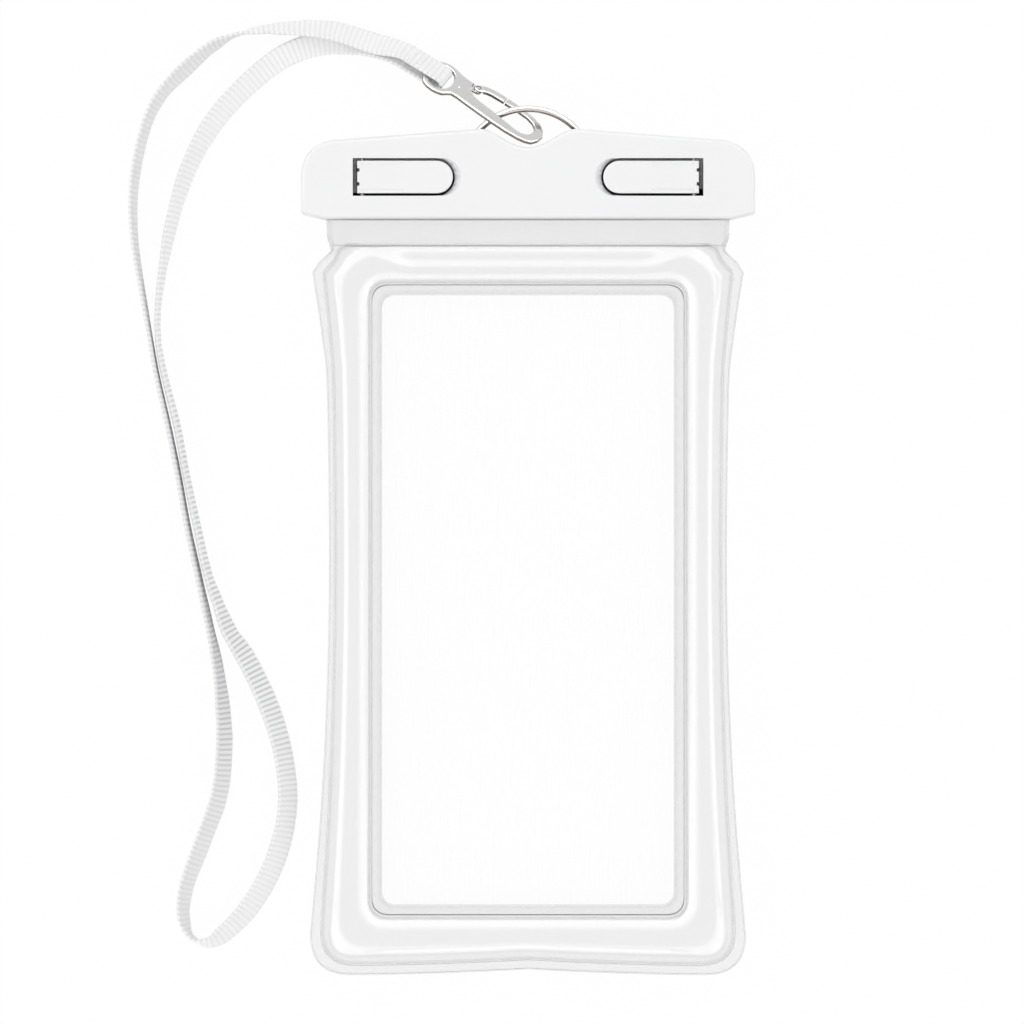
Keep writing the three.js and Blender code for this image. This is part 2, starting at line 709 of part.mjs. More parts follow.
// The air cushion lies on the film's border and swells to the full thickness
function cushion(side) {
  const shares = [0, 0.07, 0.2, 0.38, 0.62, 0.8, 0.93, 1];
  const seat = (share, station) => filmOffset(share, station) + FILM / 2 + FIT;
  const skin = (share, station) => {
    const edge = seat(share, station) + FIT;
    return mix(edge, HALF_THICKNESS, Math.sqrt(Math.sin(Math.PI * share)));
  };
  const surface = (height) => outerLoop.map((_, station) => shares.map((share) => raised(
    between(station, share),
    side,
    height(share, station),
  )));
  return sheet(surface(skin), surface(seat), true);
}

function pane(side) {
  const inset = 0.6;
  const half = INNER_HALF - inset;
  const bottom = PANE_BOTTOM - STRIP + inset;
  const top = PANE_TOP + STRIP - inset;
  const shape = new THREE.Shape(roundedLoop(half, bottom, top, PANE_CORNER));
  const near = CAVITY_OFFSET + FILM / 2 + FIT;
  const z0 = HALF_THICKNESS + side * (side > 0 ? near : near + FILM);
  return slab(shape, z0, z0 + FILM);
}

const MOUTH_Y = SEAL_DEPTH;
place('rear_film', film(-1, MOUTH_Y), 'film');
place('front_film', film(1, FIT - NECK), 'film');
place('rear_window', pane(-1), 'clear');
place('front_window', pane(1), 'clear');
place('rear_cushion', cushion(-1), 'cushion');
place('front_cushion', cushion(1), 'cushion');

// The front film's neck moves with the front bar
function frontNeck() {
  const rows = [2 * FIT - NECK, -NECK + 1.6, 0, MOUTH_Y];
  const columns = [-1, -0.94, -0.82, -0.4, 0, 0.4, 0.82, 0.94, 1];
  const surface = (lift) => rows.map((y, row) => columns.map((share) => {
    const half = MOUTH_WIDTH / 2 - (row === 0 ? 1.2 : 0.2);
    const x = Math.abs(share) === 0.82 ? Math.sign(share) * SEAL_HALF_LENGTH : share * half;
    const flank = smooth((Math.abs(x) - SEAL_HALF_LENGTH) / (0.97 * half - SEAL_HALF_LENGTH));
    return raised(new THREE.Vector2(x, y), 1, mix(CAVITY_OFFSET, RIM_OFFSET, flank) + lift);
  }));
  return sheet(surface(FILM / 2), surface(-FILM / 2), false);
}

place('front_neck', frontNeck(), 'film');

// Wire bail: an arch with both feet turned outwards into the rear bar
function bail() {
  const points = [];
  const top = BAIL_HEIGHT;
  const end = BAIL_SLOT_OUTER + BAIL_SOCKET_DEPTH - FIT;
  points.push(new THREE.Vector3(-end, 0, 0), new THREE.Vector3(-end + 1.6, 0, 0));
  points.push(new THREE.Vector3(-end + 3.2, 0.05, 0));
  const first = Math.asin((BAIL_RADIUS - BAIL_HEIGHT + 1.5) / BAIL_RADIUS);
  const arcSteps = 12;
  for (let i = 0; i <= arcSteps; i += 1) {
    const angle = Math.PI - first - (i / arcSteps) * (Math.PI - 2 * first);
    points.push(new THREE.Vector3(
      BAIL_RADIUS * Math.cos(angle),
      top - BAIL_RADIUS + BAIL_RADIUS * Math.sin(angle),
      0,
    ));
  }
  points.push(new THREE.Vector3(end - 3.2, 0.05, 0), new THREE.Vector3(end - 1.6, 0, 0));
  points.push(new THREE.Vector3(end, 0, 0));
  const path = new THREE.CatmullRomCurve3(points, false, 'centripetal');
  const geometry = new THREE.ExtrudeGeometry(ringSection(BAIL_WIRE, 10), {
    steps: 44,
    extrudePath: path,
  });
  geometry.rotateX(rad(BAIL_TILT));
  return geometry.translate(0, BAIL_PIVOT_Y, BAIL_PIVOT_Z);
}

function ringSection(radius, sides) {
  const points = [];
  for (let i = 0; i < sides; i += 1) {
    const angle = (2 * Math.PI * i) / sides;
    points.push(new THREE.Vector2(radius * Math.cos(angle), radius * Math.sin(angle)));
  }
  return new THREE.Shape(points);
}

place('strap_bail', bail(), 'nickel');

// Snap hook, drawn flat: U runs from the eye to the nose, V across, N out of its face
function hookFrame() {
  const heading = rad(HOOK_HEADING);
  const pitch = rad(HOOK_PITCH);
  const roll = rad(HOOK_ROLL);
  const along = new THREE.Vector3(Math.cos(heading), Math.sin(heading), 0);
  const across = new THREE.Vector3(-Math.sin(heading), Math.cos(heading), 0);
  const up = new THREE.Vector3(0, 0, 1);
  const u = along.clone().multiplyScalar(Math.cos(pitch)).addScaledVector(up, Math.sin(pitch));
  const lifted = up.clone().multiplyScalar(Math.cos(pitch)).addScaledVector(along, -Math.sin(pitch));
  const v = across.clone().multiplyScalar(Math.cos(roll)).addScaledVector(lifted, -Math.sin(roll));
  const n = across.clone().multiplyScalar(Math.sin(roll)).addScaledVector(lifted, Math.cos(roll));
  return new THREE.Matrix4().makeBasis(u, v, n).setPosition(HOOK_X, HOOK_Y, HOOK_Z);
}

const HOOK_FRAME = hookFrame();
const RIVET = new THREE.Vector2(9.4, 3.8);
const GATE_TIP = 17.2;
const GATE_GAP = 0.4;

function smoothPoints(points, closed = false, count = 4) {
  const curve = new THREE.CatmullRomCurve3(points.map(([u, v]) => new THREE.Vector3(u, v, 0)), closed, 'centripetal');
  const total = (closed ? points.length : points.length - 1) * count;
  const out = curve.getPoints(total).map((p) => new THREE.Vector2(p.x, p.y));
  if (closed) {
    out.pop();
  }
  return out;
}

function hookShape() {
  const armEnd = GATE_TIP + GATE_GAP;
  const inner = smoothPoints([
    [8.2, 2.9], [8.5, 1.6], [10.4, 0.3], [16.1, -0.6], [22.4, -1.8], [26.2, -2.1],
    [28.2, -0.6], [28, 2.2], [24.9, 4], [armEnd, 4.3],
  ], false, 2);
  const outer = smoothPoints([
    [armEnd, 6.4], [24, 5.7], [28.9, 4.2], [31.2, 0.8], [29.8, -3.1], [26, -4.3], [17.9, -4.2],
    [8.6, -3.3], [4.6, -3.1], [2.8, -4.8], [0, -5.5], [-3.3, -4.6], [-4.7, -2], [-4.7, 2.2],
    [-3.2, 4.9], [0, 5.9], [3.9, 4.9], [7, 4.5], [8, 4.6],
  ], false, 2);
  const shape = new THREE.Shape([...inner, ...outer]);
  shape.holes.push(new THREE.Path(smoothPoints([
    [-2.9, -2.4], [-2, -3.6], [0.7, -4], [2.6, -2.6], [3.3, 0.4], [2.3, 3.4], [0.2, 4.4], [-2, 4.1], [-2.9, 2.8],
  ], true, 2)));
  return shape;
}

// The gate and the hook lap at the rivet, each half as thick
function lapCut(radius, low, high) {
  return solid(rod(
    radius,
    new THREE.Vector3(RIVET.x, RIVET.y, low),
    new THREE.Vector3(RIVET.x, RIVET.y, high),
    16,
  ));
}

const LAP_REACH = LAP_RADIUS + 0.5;

function hookBody() {
  const half = HOOK_THICKNESS / 2;
  const lug = new THREE.Shape();
  lug.moveTo(RIVET.x - 2.4, RIVET.y - 1.6);
  lug.lineTo(RIVET.x, RIVET.y - LAP_RADIUS);
  lug.absarc(RIVET.x, RIVET.y, LAP_RADIUS, -Math.PI / 2, Math.PI / 2, false);
  lug.lineTo(RIVET.x - 2.4, RIVET.y + 0.8);
  const plate = solid(slab(hookShape(), -half, half, HOOK_ROUNDING))
    .subtract(lapCut(LAP_REACH, -FIT / 2, 5))
    .add(solid(slab(lug, -half, -FIT / 2)));
  return plate.subtract(lapCut(RIVET_RADIUS + FIT, -5, 5));
}

function gate() {
  const half = HOOK_THICKNESS / 2;
  const root = RIVET;
  const rise = 0.62;
  const shape = new THREE.Shape([
    ...smoothPoints([
      [root.x + 0.4, root.y - LAP_RADIUS + 0.2],
      [12.2, 4.1],
      [GATE_TIP, 4.4],
    ], false, 3),
    ...smoothPoints([
      [GATE_TIP, 6.4],
      [14, 6.4],
      [11.1, 5.9],
      [root.x - 0.3, root.y + LAP_RADIUS - 0.25],
      [root.x - LAP_RADIUS + 0.2, root.y + 0.1],
      [root.x - rise, root.y - 0.75],
    ], false, 3),
  ]);
  return solid(slab(shape, -half, half, HOOK_ROUNDING))
    .subtract(lapCut(LAP_REACH, -5, FIT / 2))
    .subtract(lapCut(RIVET_RADIUS + FIT, -5, 5));
}

function rivet() {
  const half = HOOK_THICKNESS / 2;
  return rod(
    RIVET_RADIUS,
    new THREE.Vector3(RIVET.x, RIVET.y, -half + 0.05),
    new THREE.Vector3(RIVET.x, RIVET.y, half - 0.05),
    10,
  );
}

place('snap_hook', geometryOf(hookBody()).applyMatrix4(HOOK_FRAME), 'nickel');
place('hook_gate', geometryOf(gate()).applyMatrix4(HOOK_FRAME), 'nickel');
place('gate_rivet', rivet().applyMatrix4(HOOK_FRAME), 'nickel');

// Strap: a flat ribbon swept along its route, banked where it lies on its edge.
// Each point is X, Y, the bank of its face from flat in degrees, and how far it is lifted.
const STRAP_ROUTE = [
  [-41.3, 47.1, 28, 1.4],
  [-51.2, 50.2, 36, 0.6],
  [-57.9, 51, 46, 0.3],
  [-64.5, 51, 58, 0],
  [-71.2, 50.6, 72, 0],
  [-77.8, 49.3, 90, 0],
  [-84, 46.2, 110, 0],
  [-91.3, 40, 120, 0],
  [-97.4, 33.6, 112, 0],
  [-101.2, 26.2, 107, 0],
  [-104.2, 14, 106, 0],
  [-105.1, 3.9, 103, 0],
  [-104.5, -7, 99, 0],
  [-102.3, -20.8, 95, 0.2],
  [-100.3, -32.5, 93, 0.8],
  [-98.7, -41.3, 94, 1.2],
  [-95.7, -54.5, 95, 1.3],
  [-93, -67.8, 96, 1.3],
  [-90.6, -81.1, 97, 1.3],
  [-87.7, -94.4, 99, 1.2],
  [-84.8, -107.6, 102, 0.8],
  [-82.4, -119.6, 110, 0.2],
  [-81.1, -131, 122, 0],
  [-80.8, -139.5, 127, 0],
  [-82.1, -152.8, 129, 0],
  [-86.8, -166.1, 127, 0],
  [-91, -178, 120, 0],
  [-91.6, -185.6, 113, 0],
  [-89.4, -190.9, 94, 0],
  [-84.9, -192.2, 66, 0],
  [-80.6, -189.6, 46, 0],
  [-73.5, -182, 38, 0],
  [-67, -169.7, 38, 0],
  [-64, -156.1, 42, 0],
  [-65, -142.8, 44, 0],
  [-68.8, -129.6, 39, 0],
  [-75.1, -116.3, 42, 0],
  [-79.4, -109.5, 56, 0],
  [-82.8, -101, 70, 0],
  [-85.1, -94.4, 77, 0],
  [-88.1, -81.1, 80, 0],
  [-90.9, -67.8, 82, 0],
  [-93.4, -54.5, 82, 0],
  [-96.7, -41.3, 84, 0],
  [-98.3, -32.5, 86, 0],
  [-98.5, -24.5, 86, 0],
  [-97.4, -14.7, 80, 0],
  [-94.8, -0.8, 66, 0],
  [-90.3, 13.8, 54, 0],
  [-83.6, 26.1, 40, 0],
  [-74, 36.7, 33, 0],
  [-63.5, 44.4, 22, 0],
  [-53.2, 47.3, 6, 0],
  [-41.5, 46.3, -28, 0],
];

// Both ends run into the sewn fold through the hook's eye, in the hook's own plane
const FOLD_RADIUS = HOOK_THICKNESS / 2 + FIT + STRAP_THICKNESS / 2 + 0.1;
const FOLD_U = -0.4;
const FOLD_V = 0.2;

function inHook(u, v, n) {
  return new THREE.Vector3(u, v, n).applyMatrix4(HOOK_FRAME);
}

function restHeight(bank) {
  const lean = rad(bank);
  return (STRAP_WIDTH / 2) * Math.abs(Math.sin(lean)) + (STRAP_THICKNESS / 2) * Math.abs(Math.cos(lean)) + 0.1;
}

// A curve that carries the ribbon's own frames: across its thickness and across its width
class RibbonCurve extends THREE.CatmullRomCurve3 {
  constructor(points, banks) {
    super(points, false, 'centripetal');
    this.banks = banks;
  }

  bankAt(u) {
    const t = this.getUtoTmapping(u) * (this.banks.length - 1);
    const i = Math.min(Math.floor(t), this.banks.length - 2);
    return mix(this.banks[i], this.banks[i + 1], smooth(t - i));
  }

  computeFrenetFrames(segments) {
    const frames = { tangents: [], normals: [], binormals: [] };
    const up = new THREE.Vector3(0, 0, 1);
    for (let i = 0; i <= segments; i += 1) {
      const tangent = this.getTangentAt(i / segments);
      const lean = rad(this.bankAt(i / segments));
      const across = tangent.clone().cross(up).normalize();
      const face = up.clone().multiplyScalar(Math.cos(lean)).addScaledVector(across, Math.sin(lean));
      face.addScaledVector(tangent, -face.dot(tangent)).normalize();
      frames.tangents.push(tangent);
      frames.normals.push(face);
      frames.binormals.push(tangent.clone().cross(face));
    }
    return frames;
  }
}

function ribbonSection() {
  const half = STRAP_THICKNESS / 2;
  const edge = STRAP_WIDTH / 2;
  const soft = half * 0.55;
  return new THREE.Shape([
    [-soft, -edge], [soft, -edge], [half, -edge + half], [half, edge - half],
    [soft, edge], [-soft, edge], [-half, edge - half], [-half, -edge + half],
  ].map((p) => new THREE.Vector2(...p)));
}

function strap() {
  const stub = FOLD_U - FOLD_LENGTH - FOLD_GAP;
  const under = FOLD_U - FOLD_LENGTH - FOLD_SWING_GAP;
  const start = [inHook(stub, FOLD_V, FOLD_RADIUS), inHook(stub - 2, FOLD_V, FOLD_RADIUS)];
  const finish = [inHook(under - 2, FOLD_V, -FOLD_RADIUS), inHook(under, FOLD_V, -FOLD_RADIUS)];
  const middle = STRAP_ROUTE.map(([x, y, bank, lift]) => new THREE.Vector3(x, y, restHeight(bank) + lift));
  const banks = [HOOK_ROLL, HOOK_ROLL, ...STRAP_ROUTE.map((p) => p[2]), -HOOK_ROLL, -HOOK_ROLL];
  const curve = new RibbonCurve([...start, ...middle, ...finish], banks);
  return new THREE.ExtrudeGeometry(ribbonSection(), { steps: STRAP_STEPS, extrudePath: curve });
}

function strapFold() {
  const half = STRAP_THICKNESS / 2;
  const steps = 8;
  const outer = [];
  const inner = [];
  outer.push([FOLD_U - FOLD_LENGTH, FOLD_RADIUS + half]);
  inner.push([FOLD_U - FOLD_LENGTH, FOLD_RADIUS - half]);
  for (let i = 0; i <= steps; i += 1) {
    const angle = Math.PI / 2 - (Math.PI * i) / steps;
    const [c, s] = [Math.cos(angle), Math.sin(angle)];
    outer.push([FOLD_U + (FOLD_RADIUS + half) * c, (FOLD_RADIUS + half) * s]);
    inner.push([FOLD_U + (FOLD_RADIUS - half) * c, (FOLD_RADIUS - half) * s]);
  }
  outer.push([FOLD_U - FOLD_LENGTH, -FOLD_RADIUS - half]);
  inner.push([FOLD_U - FOLD_LENGTH, half - FOLD_RADIUS]);
  const points = [...outer, ...inner.reverse()];
  const edge = STRAP_WIDTH / 2;
  return beam(points, FOLD_V - edge, FOLD_V + edge).applyMatrix4(HOOK_FRAME);
}

place('strap', strap(), 'ribbon');
place('strap_fold', strapFold(), 'ribbon');

// The origin is under the middle of the pouch, clip and bail, on the surface it lies on
const LOW_Y = OUTER_BOTTOM - FLANGE_BOTTOM;
const HIGH_Y = BAIL_PIVOT_Y + BAIL_HEIGHT * Math.cos(rad(BAIL_TILT)) + BAIL_WIRE;
pouch.position.y = -(LOW_Y + HIGH_Y) / 2;
pouch.updateMatrixWorld(true);

export default pouch;
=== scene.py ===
"""Looks of a clear phone pouch with an air-filled border, a white clip and a wrist strap."""

import json
import logging
import math
from dataclasses import dataclass, field
from enum import Enum

import bpy
import numpy as np
from mathutils import Matrix, Vector

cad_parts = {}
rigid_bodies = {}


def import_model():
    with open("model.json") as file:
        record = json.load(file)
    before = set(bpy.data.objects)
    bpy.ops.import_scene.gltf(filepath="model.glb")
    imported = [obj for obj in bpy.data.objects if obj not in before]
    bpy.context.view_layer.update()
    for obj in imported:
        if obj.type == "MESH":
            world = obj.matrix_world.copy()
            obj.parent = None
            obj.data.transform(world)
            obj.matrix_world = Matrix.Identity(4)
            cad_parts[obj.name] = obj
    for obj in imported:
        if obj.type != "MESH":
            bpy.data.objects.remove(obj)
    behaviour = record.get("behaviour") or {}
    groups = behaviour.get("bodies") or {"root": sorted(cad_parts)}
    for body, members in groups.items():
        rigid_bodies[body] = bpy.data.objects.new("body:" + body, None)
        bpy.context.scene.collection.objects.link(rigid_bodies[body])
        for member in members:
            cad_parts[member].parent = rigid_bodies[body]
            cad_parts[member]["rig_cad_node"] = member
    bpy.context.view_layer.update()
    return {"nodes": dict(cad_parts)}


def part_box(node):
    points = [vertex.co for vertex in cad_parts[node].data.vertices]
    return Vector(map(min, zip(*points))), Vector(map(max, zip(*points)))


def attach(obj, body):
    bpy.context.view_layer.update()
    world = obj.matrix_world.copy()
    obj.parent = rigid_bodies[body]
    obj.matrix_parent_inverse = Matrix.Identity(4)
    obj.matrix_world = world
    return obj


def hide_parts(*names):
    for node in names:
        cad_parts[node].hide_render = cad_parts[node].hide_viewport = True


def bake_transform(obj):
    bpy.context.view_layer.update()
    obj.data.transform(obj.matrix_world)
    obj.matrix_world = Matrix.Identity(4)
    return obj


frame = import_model()

LOG = logging.getLogger("phone_pouch")
MM = 0.001
SHIFT_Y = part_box("rear_bar")[0].y / MM
MID_Z = 7.0
UP = np.array([0.0, 0.0, 1.0])
CURVE_STEPS = 24
BEND_STEPS = 60
MERGE_DISTANCE = 2e-6
FLAT_ANGLE = math.radians(0.6)
QUAD_ANGLE = math.radians(50)
BEVEL_ANGLE = math.radians(38)


class Face(Enum):
    """The two faces of the pouch, with the way each one points."""

    REAR = -1
    FRONT = 1

    @property
    def word(self) -> str:
        """The face's name in lower case."""
        return self.name.lower()


class Hand(Enum):
    """The two hands of a piece that comes in a pair."""

    LEFT = -1
    RIGHT = 1

    @property
    def word(self) -> str:
        """The hand's name in lower case."""
        return self.name.lower()


def to_frame(points: np.ndarray) -> np.ndarray:
    """Turns millimetres measured from the bar's lower edge into the row frame.

    Args:
        points: An array whose last axis holds x, y and z in millimetres.

    Returns:
        The same points in metres.
    """
    moved = np.array(points, float)
    moved[..., 1] += SHIFT_Y
    return moved * MM


def smoothstep(value: np.ndarray | float) -> np.ndarray | float:
    """Eases a value from 0 to 1."""
    clipped = np.clip(value, 0.0, 1.0)
    return clipped * clipped * (3.0 - 2.0 * clipped)


def mixed(
    first: np.ndarray | float, second: np.ndarray | float, share: np.ndarray | float
) -> np.ndarray | float:
    """The value at a share of the way from one to another."""
    return first + (second - first) * share


def unit(vectors: np.ndarray) -> np.ndarray:
    """Scales each row to length 1."""
    return vectors / np.linalg.norm(vectors, axis=1, keepdims=True)


def run_along(points: np.ndarray) -> np.ndarray:
    """The length run along a polyline at each of its points, from 0."""
    steps = np.linalg.norm(np.diff(points, axis=0), axis=1)
    return np.concatenate([[0.0], np.cumsum(steps)])


def oval(wide: float, high: float, sides: int) -> np.ndarray:
    """The points of an oval section with these half sizes."""
    angles = np.arange(sides) * 2 * math.pi / sides
    return np.column_stack([wide * np.cos(angles), high * np.sin(angles)])


def link(piece: bpy.types.Object) -> bpy.types.Object:
    """Puts an object into the scene's collection."""
    bpy.context.scene.collection.objects.link(piece)
    return piece


def select_only(piece: bpy.types.Object) -> None:
    """Deselects everything, then selects one object and makes it active."""
    bpy.ops.object.select_all(action="DESELECT")
    piece.select_set(True)
    bpy.context.view_layer.objects.active = piece


def apply_modifier(piece: bpy.types.Object, kind: str, **settings: object) -> None:
    """Adds a modifier, sets it and applies it.

    Args:
        piece: The object that gets it.
        kind: The modifier's type.
        **settings: Its properties.
    """
    select_only(piece)
    modifier = piece.modifiers.new(kind.title(), kind)
    for name, value in settings.items():
        setattr(modifier, name, value)
    bpy.ops.object.modifier_apply(modifier=modifier.name)


def mesh_piece(name: str, vertices: np.ndarray, faces: list[tuple[int, ...]]) -> bpy.types.Object:
    """Makes a mesh object from points in millimetres, with its faces turned outwards.

    Args:
        name: The object's name.
        vertices: Points in millimetres from the bar's lower edge.
        faces: Corner numbers of each face.

    Returns:
        The new object.
    """
    mesh = bpy.data.meshes.new(name)
    mesh.from_pydata([tuple(p) for p in to_frame(vertices)], [], faces)
    piece = link(bpy.data.objects.new(name, mesh))
    select_only(piece)
    bpy.ops.object.mode_set(mode="EDIT")
    bpy.ops.mesh.select_all(action="SELECT")
    bpy.ops.mesh.normals_make_consistent(inside=False)
    bpy.ops.object.mode_set(mode="OBJECT")
    return piece


def ball(radius: float, segments: int, rings: int, shape: Matrix) -> bpy.types.Object:
    """Makes a round piece.

    Args:
        radius: Its radius before it is shaped.
        segments: How many faces go round it.
        rings: How many rows of them there are.
        shape: The matrix that shapes and places its mesh.

    Returns:
        The new object, with its origin unmoved.
    """
    bpy.ops.object.select_all(action="DESELECT")
    bpy.ops.mesh.primitive_uv_sphere_add(segments=segments, ring_count=rings, radius=radius)
    piece = bpy.context.object
    piece.data.transform(shape)
    return piece


def smooth_by_angle(piece: bpy.types.Object, degrees: float = 40.0) -> None:
    """Shades an object smooth except over edges sharper than an angle."""
    select_only(piece)
    bpy.ops.object.shade_smooth_by_angle(angle=math.radians(degrees))


def number_attribute(piece: bpy.types.Object, name: str, values: np.ndarray) -> None:
    """Stores one number per vertex for a material to read."""
    layer = piece.data.attributes.new(name, "FLOAT", "POINT")
    layer.data.foreach_set("value", np.asarray(values, np.float32).ravel())


Operand = "Value | float"


class Value:
    """A number in a shader, whose sums and products add Math nodes."""

    def __init__(self, graph: "Graph", socket: bpy.types.NodeSocket) -> None:
        """Keeps the socket and the graph it belongs to."""
        self.graph = graph
        self.socket = socket

    def __add__(self, other: Operand) -> "Value":
        """The sum of both."""
        return self.graph.math("ADD", self, other)

    def __sub__(self, other: Operand) -> "Value":
        """This less the other."""
        return self.graph.math("SUBTRACT", self, other)

    def __rsub__(self, other: Operand) -> "Value":
        """The other less this."""
        return self.graph.math("SUBTRACT", other, self)

    def __mul__(self, other: Operand) -> "Value":
        """The product of both."""
        return self.graph.math("MULTIPLY", self, other)

    def __truediv__(self, other: Operand) -> "Value":
        """This over the other."""
        return self.graph.math("DIVIDE", self, other)

    __radd__ = __add__
    __rmul__ = __mul__

    def size(self) -> "Value":
        """The value without its sign."""
        return self.graph.math("ABSOLUTE", self)

    def wave(self) -> "Value":
        """Its sine, moved to run from 0 to 1."""
        return self.graph.math("SINE", self) * 0.5 + 0.5

    def step(self, low: float, high: float) -> "Value":
        """Eases from 0 at one level to 1 at another."""
        made = self.graph.node(
            "ShaderNodeMapRange",
            {"interpolation_type": "SMOOTHSTEP"},
            {"Value": self, "From Min": low, "From Max": high},
        )
        return Value(self.graph, made.outputs["Result"])


class Graph:
    """The node graph of one material, or of the world."""

    def __init__(self, owner: bpy.types.Material | bpy.types.World) -> None:
        """Empties the graph of the material or world that it belongs to."""
        owner.use_nodes = True
        self.owner = owner
        self.tree = owner.node_tree
        self.tree.nodes.clear()

    @classmethod
    def material(cls, name: str) -> "Graph":
        """Starts a new material of that name."""
        return cls(bpy.data.materials.new(name))

    def node(
        self,
        kind: str,
        settings: dict[str, object] | None = None,
        inputs: dict[str | int, object] | None = None,
    ) -> bpy.types.Node:
        """Adds a node, sets it and fills its sockets.

        Args:
            kind: The node's type.
            settings: Its own properties, which are set first.
            inputs: A number, colour, Value or socket for each input named.

        Returns:
            The new node.
        """
        made = self.tree.nodes.new(kind)
        for name, value in (settings or {}).items():
            setattr(made, name, value)
        for name, value in (inputs or {}).items():
            socket = made.inputs[name]
            if isinstance(value, Value):
                self.tree.links.new(value.socket, socket)
            elif isinstance(value, bpy.types.NodeSocket):
                self.tree.links.new(value, socket)
            else:
                socket.default_value = value
        return made

    def math(self, operation: str, *values: Operand) -> Value:
        """Adds a Math node and gives its result."""
        made = self.node("ShaderNodeMath", {"operation": operation}, dict(enumerate(values)))
        return Value(self, made.outputs[0])

    def place(self) -> bpy.types.NodeSocket:
        """The point on the piece, in metres."""
        return self.node("ShaderNodeTexCoord").outputs["Object"]

    def axes(self) -> tuple[Value, Value, Value]:
        """The point's x, y and z in metres."""
        made = self.node("ShaderNodeSeparateXYZ", None, {"Vector": self.place()})
        return tuple(Value(self, made.outputs[axis]) for axis in "XYZ")

    def attribute(self, name: str) -> Value:
        """A number that the mesh carries."""
        made = self.node("ShaderNodeAttribute", {"attribute_name": name})
        return Value(self, made.outputs["Fac"])

    def stretched(self, scale: tuple[float, float, float]) -> bpy.types.NodeSocket:
        """The point with each axis scaled."""
        made = self.node("ShaderNodeMapping", None, {"Vector": self.place(), "Scale": scale})
        return made.outputs["Vector"]

    def noise(
        self, scale: float, detail: float = 2.0, vector: bpy.types.NodeSocket | None = None
    ) -> Value:
        """Soft noise round 0.5.

        Args:
            scale: How many waves go to a metre.
            detail: How many finer layers are added.
            vector: Where it is read, or the point itself.

        Returns:
            The noise.
        """
        made = self.node(
            "ShaderNodeTexNoise",
            None,
            {"Vector": vector or self.place(), "Scale": scale, "Detail": detail},
        )
        return Value(self, made.outputs["Fac"])

    def colour(self, factor: Operand, first: object, second: object) -> bpy.types.NodeSocket:
        """Mixes two colours."""
        made = self.node(
            "ShaderNodeMix", {"data_type": "RGBA"}, {0: factor, 6: first, 7: second}
        )
        return made.outputs[2]

    def bump(
        self, height: Value, distance: float, strength: float = 1.0,
        normal: bpy.types.NodeSocket | None = None,
    ) -> bpy.types.NodeSocket:
        """Turns a height into a normal.

        Args:
            height: The height, from 0 to 1.
            distance: How high 1 is, in metres.
            strength: How much of it shows.
            normal: The normal it is laid over.

        Returns:
            The bent normal.
        """
        inputs = {"Height": height, "Distance": distance, "Strength": strength}
        if normal is not None:
            inputs["Normal"] = normal
        return self.node("ShaderNodeBump", None, inputs).outputs["Normal"]

    def surface(self, **sockets: object) -> bpy.types.Material:
        """Ends the graph in a Principled shader.

        Args:
            **sockets: Its inputs, with underscores for spaces.

        Returns:
            The finished material.
        """
        inputs = {name.replace("_", " "): value for name, value in sockets.items()}
        shader = self.node("ShaderNodeBsdfPrincipled", None, inputs)
        return self.output(shader.outputs[0])

    def output(self, shader: bpy.types.NodeSocket) -> bpy.types.Material:
        """Joins a shader to the material's output."""
        self.node("ShaderNodeOutputMaterial", None, {"Surface": shader})
        return self.owner


def rgba(red: float, green: float, blue: float) -> tuple[float, float, float, float]:
    """A colour with full alpha."""
    return (red, green, blue, 1.0)


@dataclass(frozen=True)
class ShellFinish:
    """Satin white moulded plastic of the clip."""

    slot: str = "shell"
    tone: tuple[float, float, float] = (0.9, 0.902, 0.911)
    roughness: float = 0.34

    def build(self) -> bpy.types.Material:
        """Makes the material: faint flow clouds, a fine grain and light scuffs."""
        graph = Graph.material("clip_shell")
        clouds = graph.noise(scale=38.0, detail=3.0)
        grain = graph.noise(scale=5200.0, detail=2.0)
        drawn = graph.stretched((0.3, 2.4, 1.0))
        scuffs = graph.noise(scale=240.0, detail=6.0, vector=drawn).step(0.58, 0.74)
        pale = rgba(*self.tone)
        dim = rgba(*(0.965 * tone for tone in self.tone))
        return graph.surface(
            Base_Color=graph.colour(clouds.step(0.4, 0.75) * 0.6 + scuffs * 0.12, pale, dim),
            Roughness=clouds * 0.08 + scuffs * 0.1 + (self.roughness - 0.05),
            Normal=graph.bump(grain, distance=0.000012, strength=0.5),
        )


@dataclass(frozen=True)
class StripFinish:
    """Plain moulded strip that clamps the film."""

    slot: str = "strip"
    tone: tuple[float, float, float] = (0.74, 0.75, 0.77)

    def build(self) -> bpy.types.Material:
        """Makes the material: a drawn grain along the strip."""
        graph = Graph.material("clamp_strip")
        grain = graph.noise(scale=900.0, detail=3.0, vector=graph.stretched((0.05, 1.0, 1.0)))
        pale = rgba(*self.tone)
        dim = rgba(*(0.92 * tone for tone in self.tone))
        return graph.surface(
            Base_Color=graph.colour(grain, pale, dim),
            Roughness=grain * 0.2 + 0.4,
            Normal=graph.bump(grain, distance=0.00002, strength=0.4),
        )


@dataclass(frozen=True)
class GasketFinish:
    """Soft seal with a dull skin."""

    slot: str = "gasket"

    def build(self) -> bpy.types.Material:
        """Makes the material: cloudy rubber with fine pits."""
        graph = Graph.material("mouth_gasket")
        clouds = graph.noise(scale=160.0, detail=3.0)
        pits = graph.noise(scale=4200.0, detail=1.0)
        return graph.surface(
            Base_Color=graph.colour(clouds, rgba(0.7, 0.72, 0.74), rgba(0.62, 0.64, 0.66)),
            Roughness=clouds * 0.15 + 0.55,
            Normal=graph.bump(pits, distance=0.00003, strength=0.5),
        )


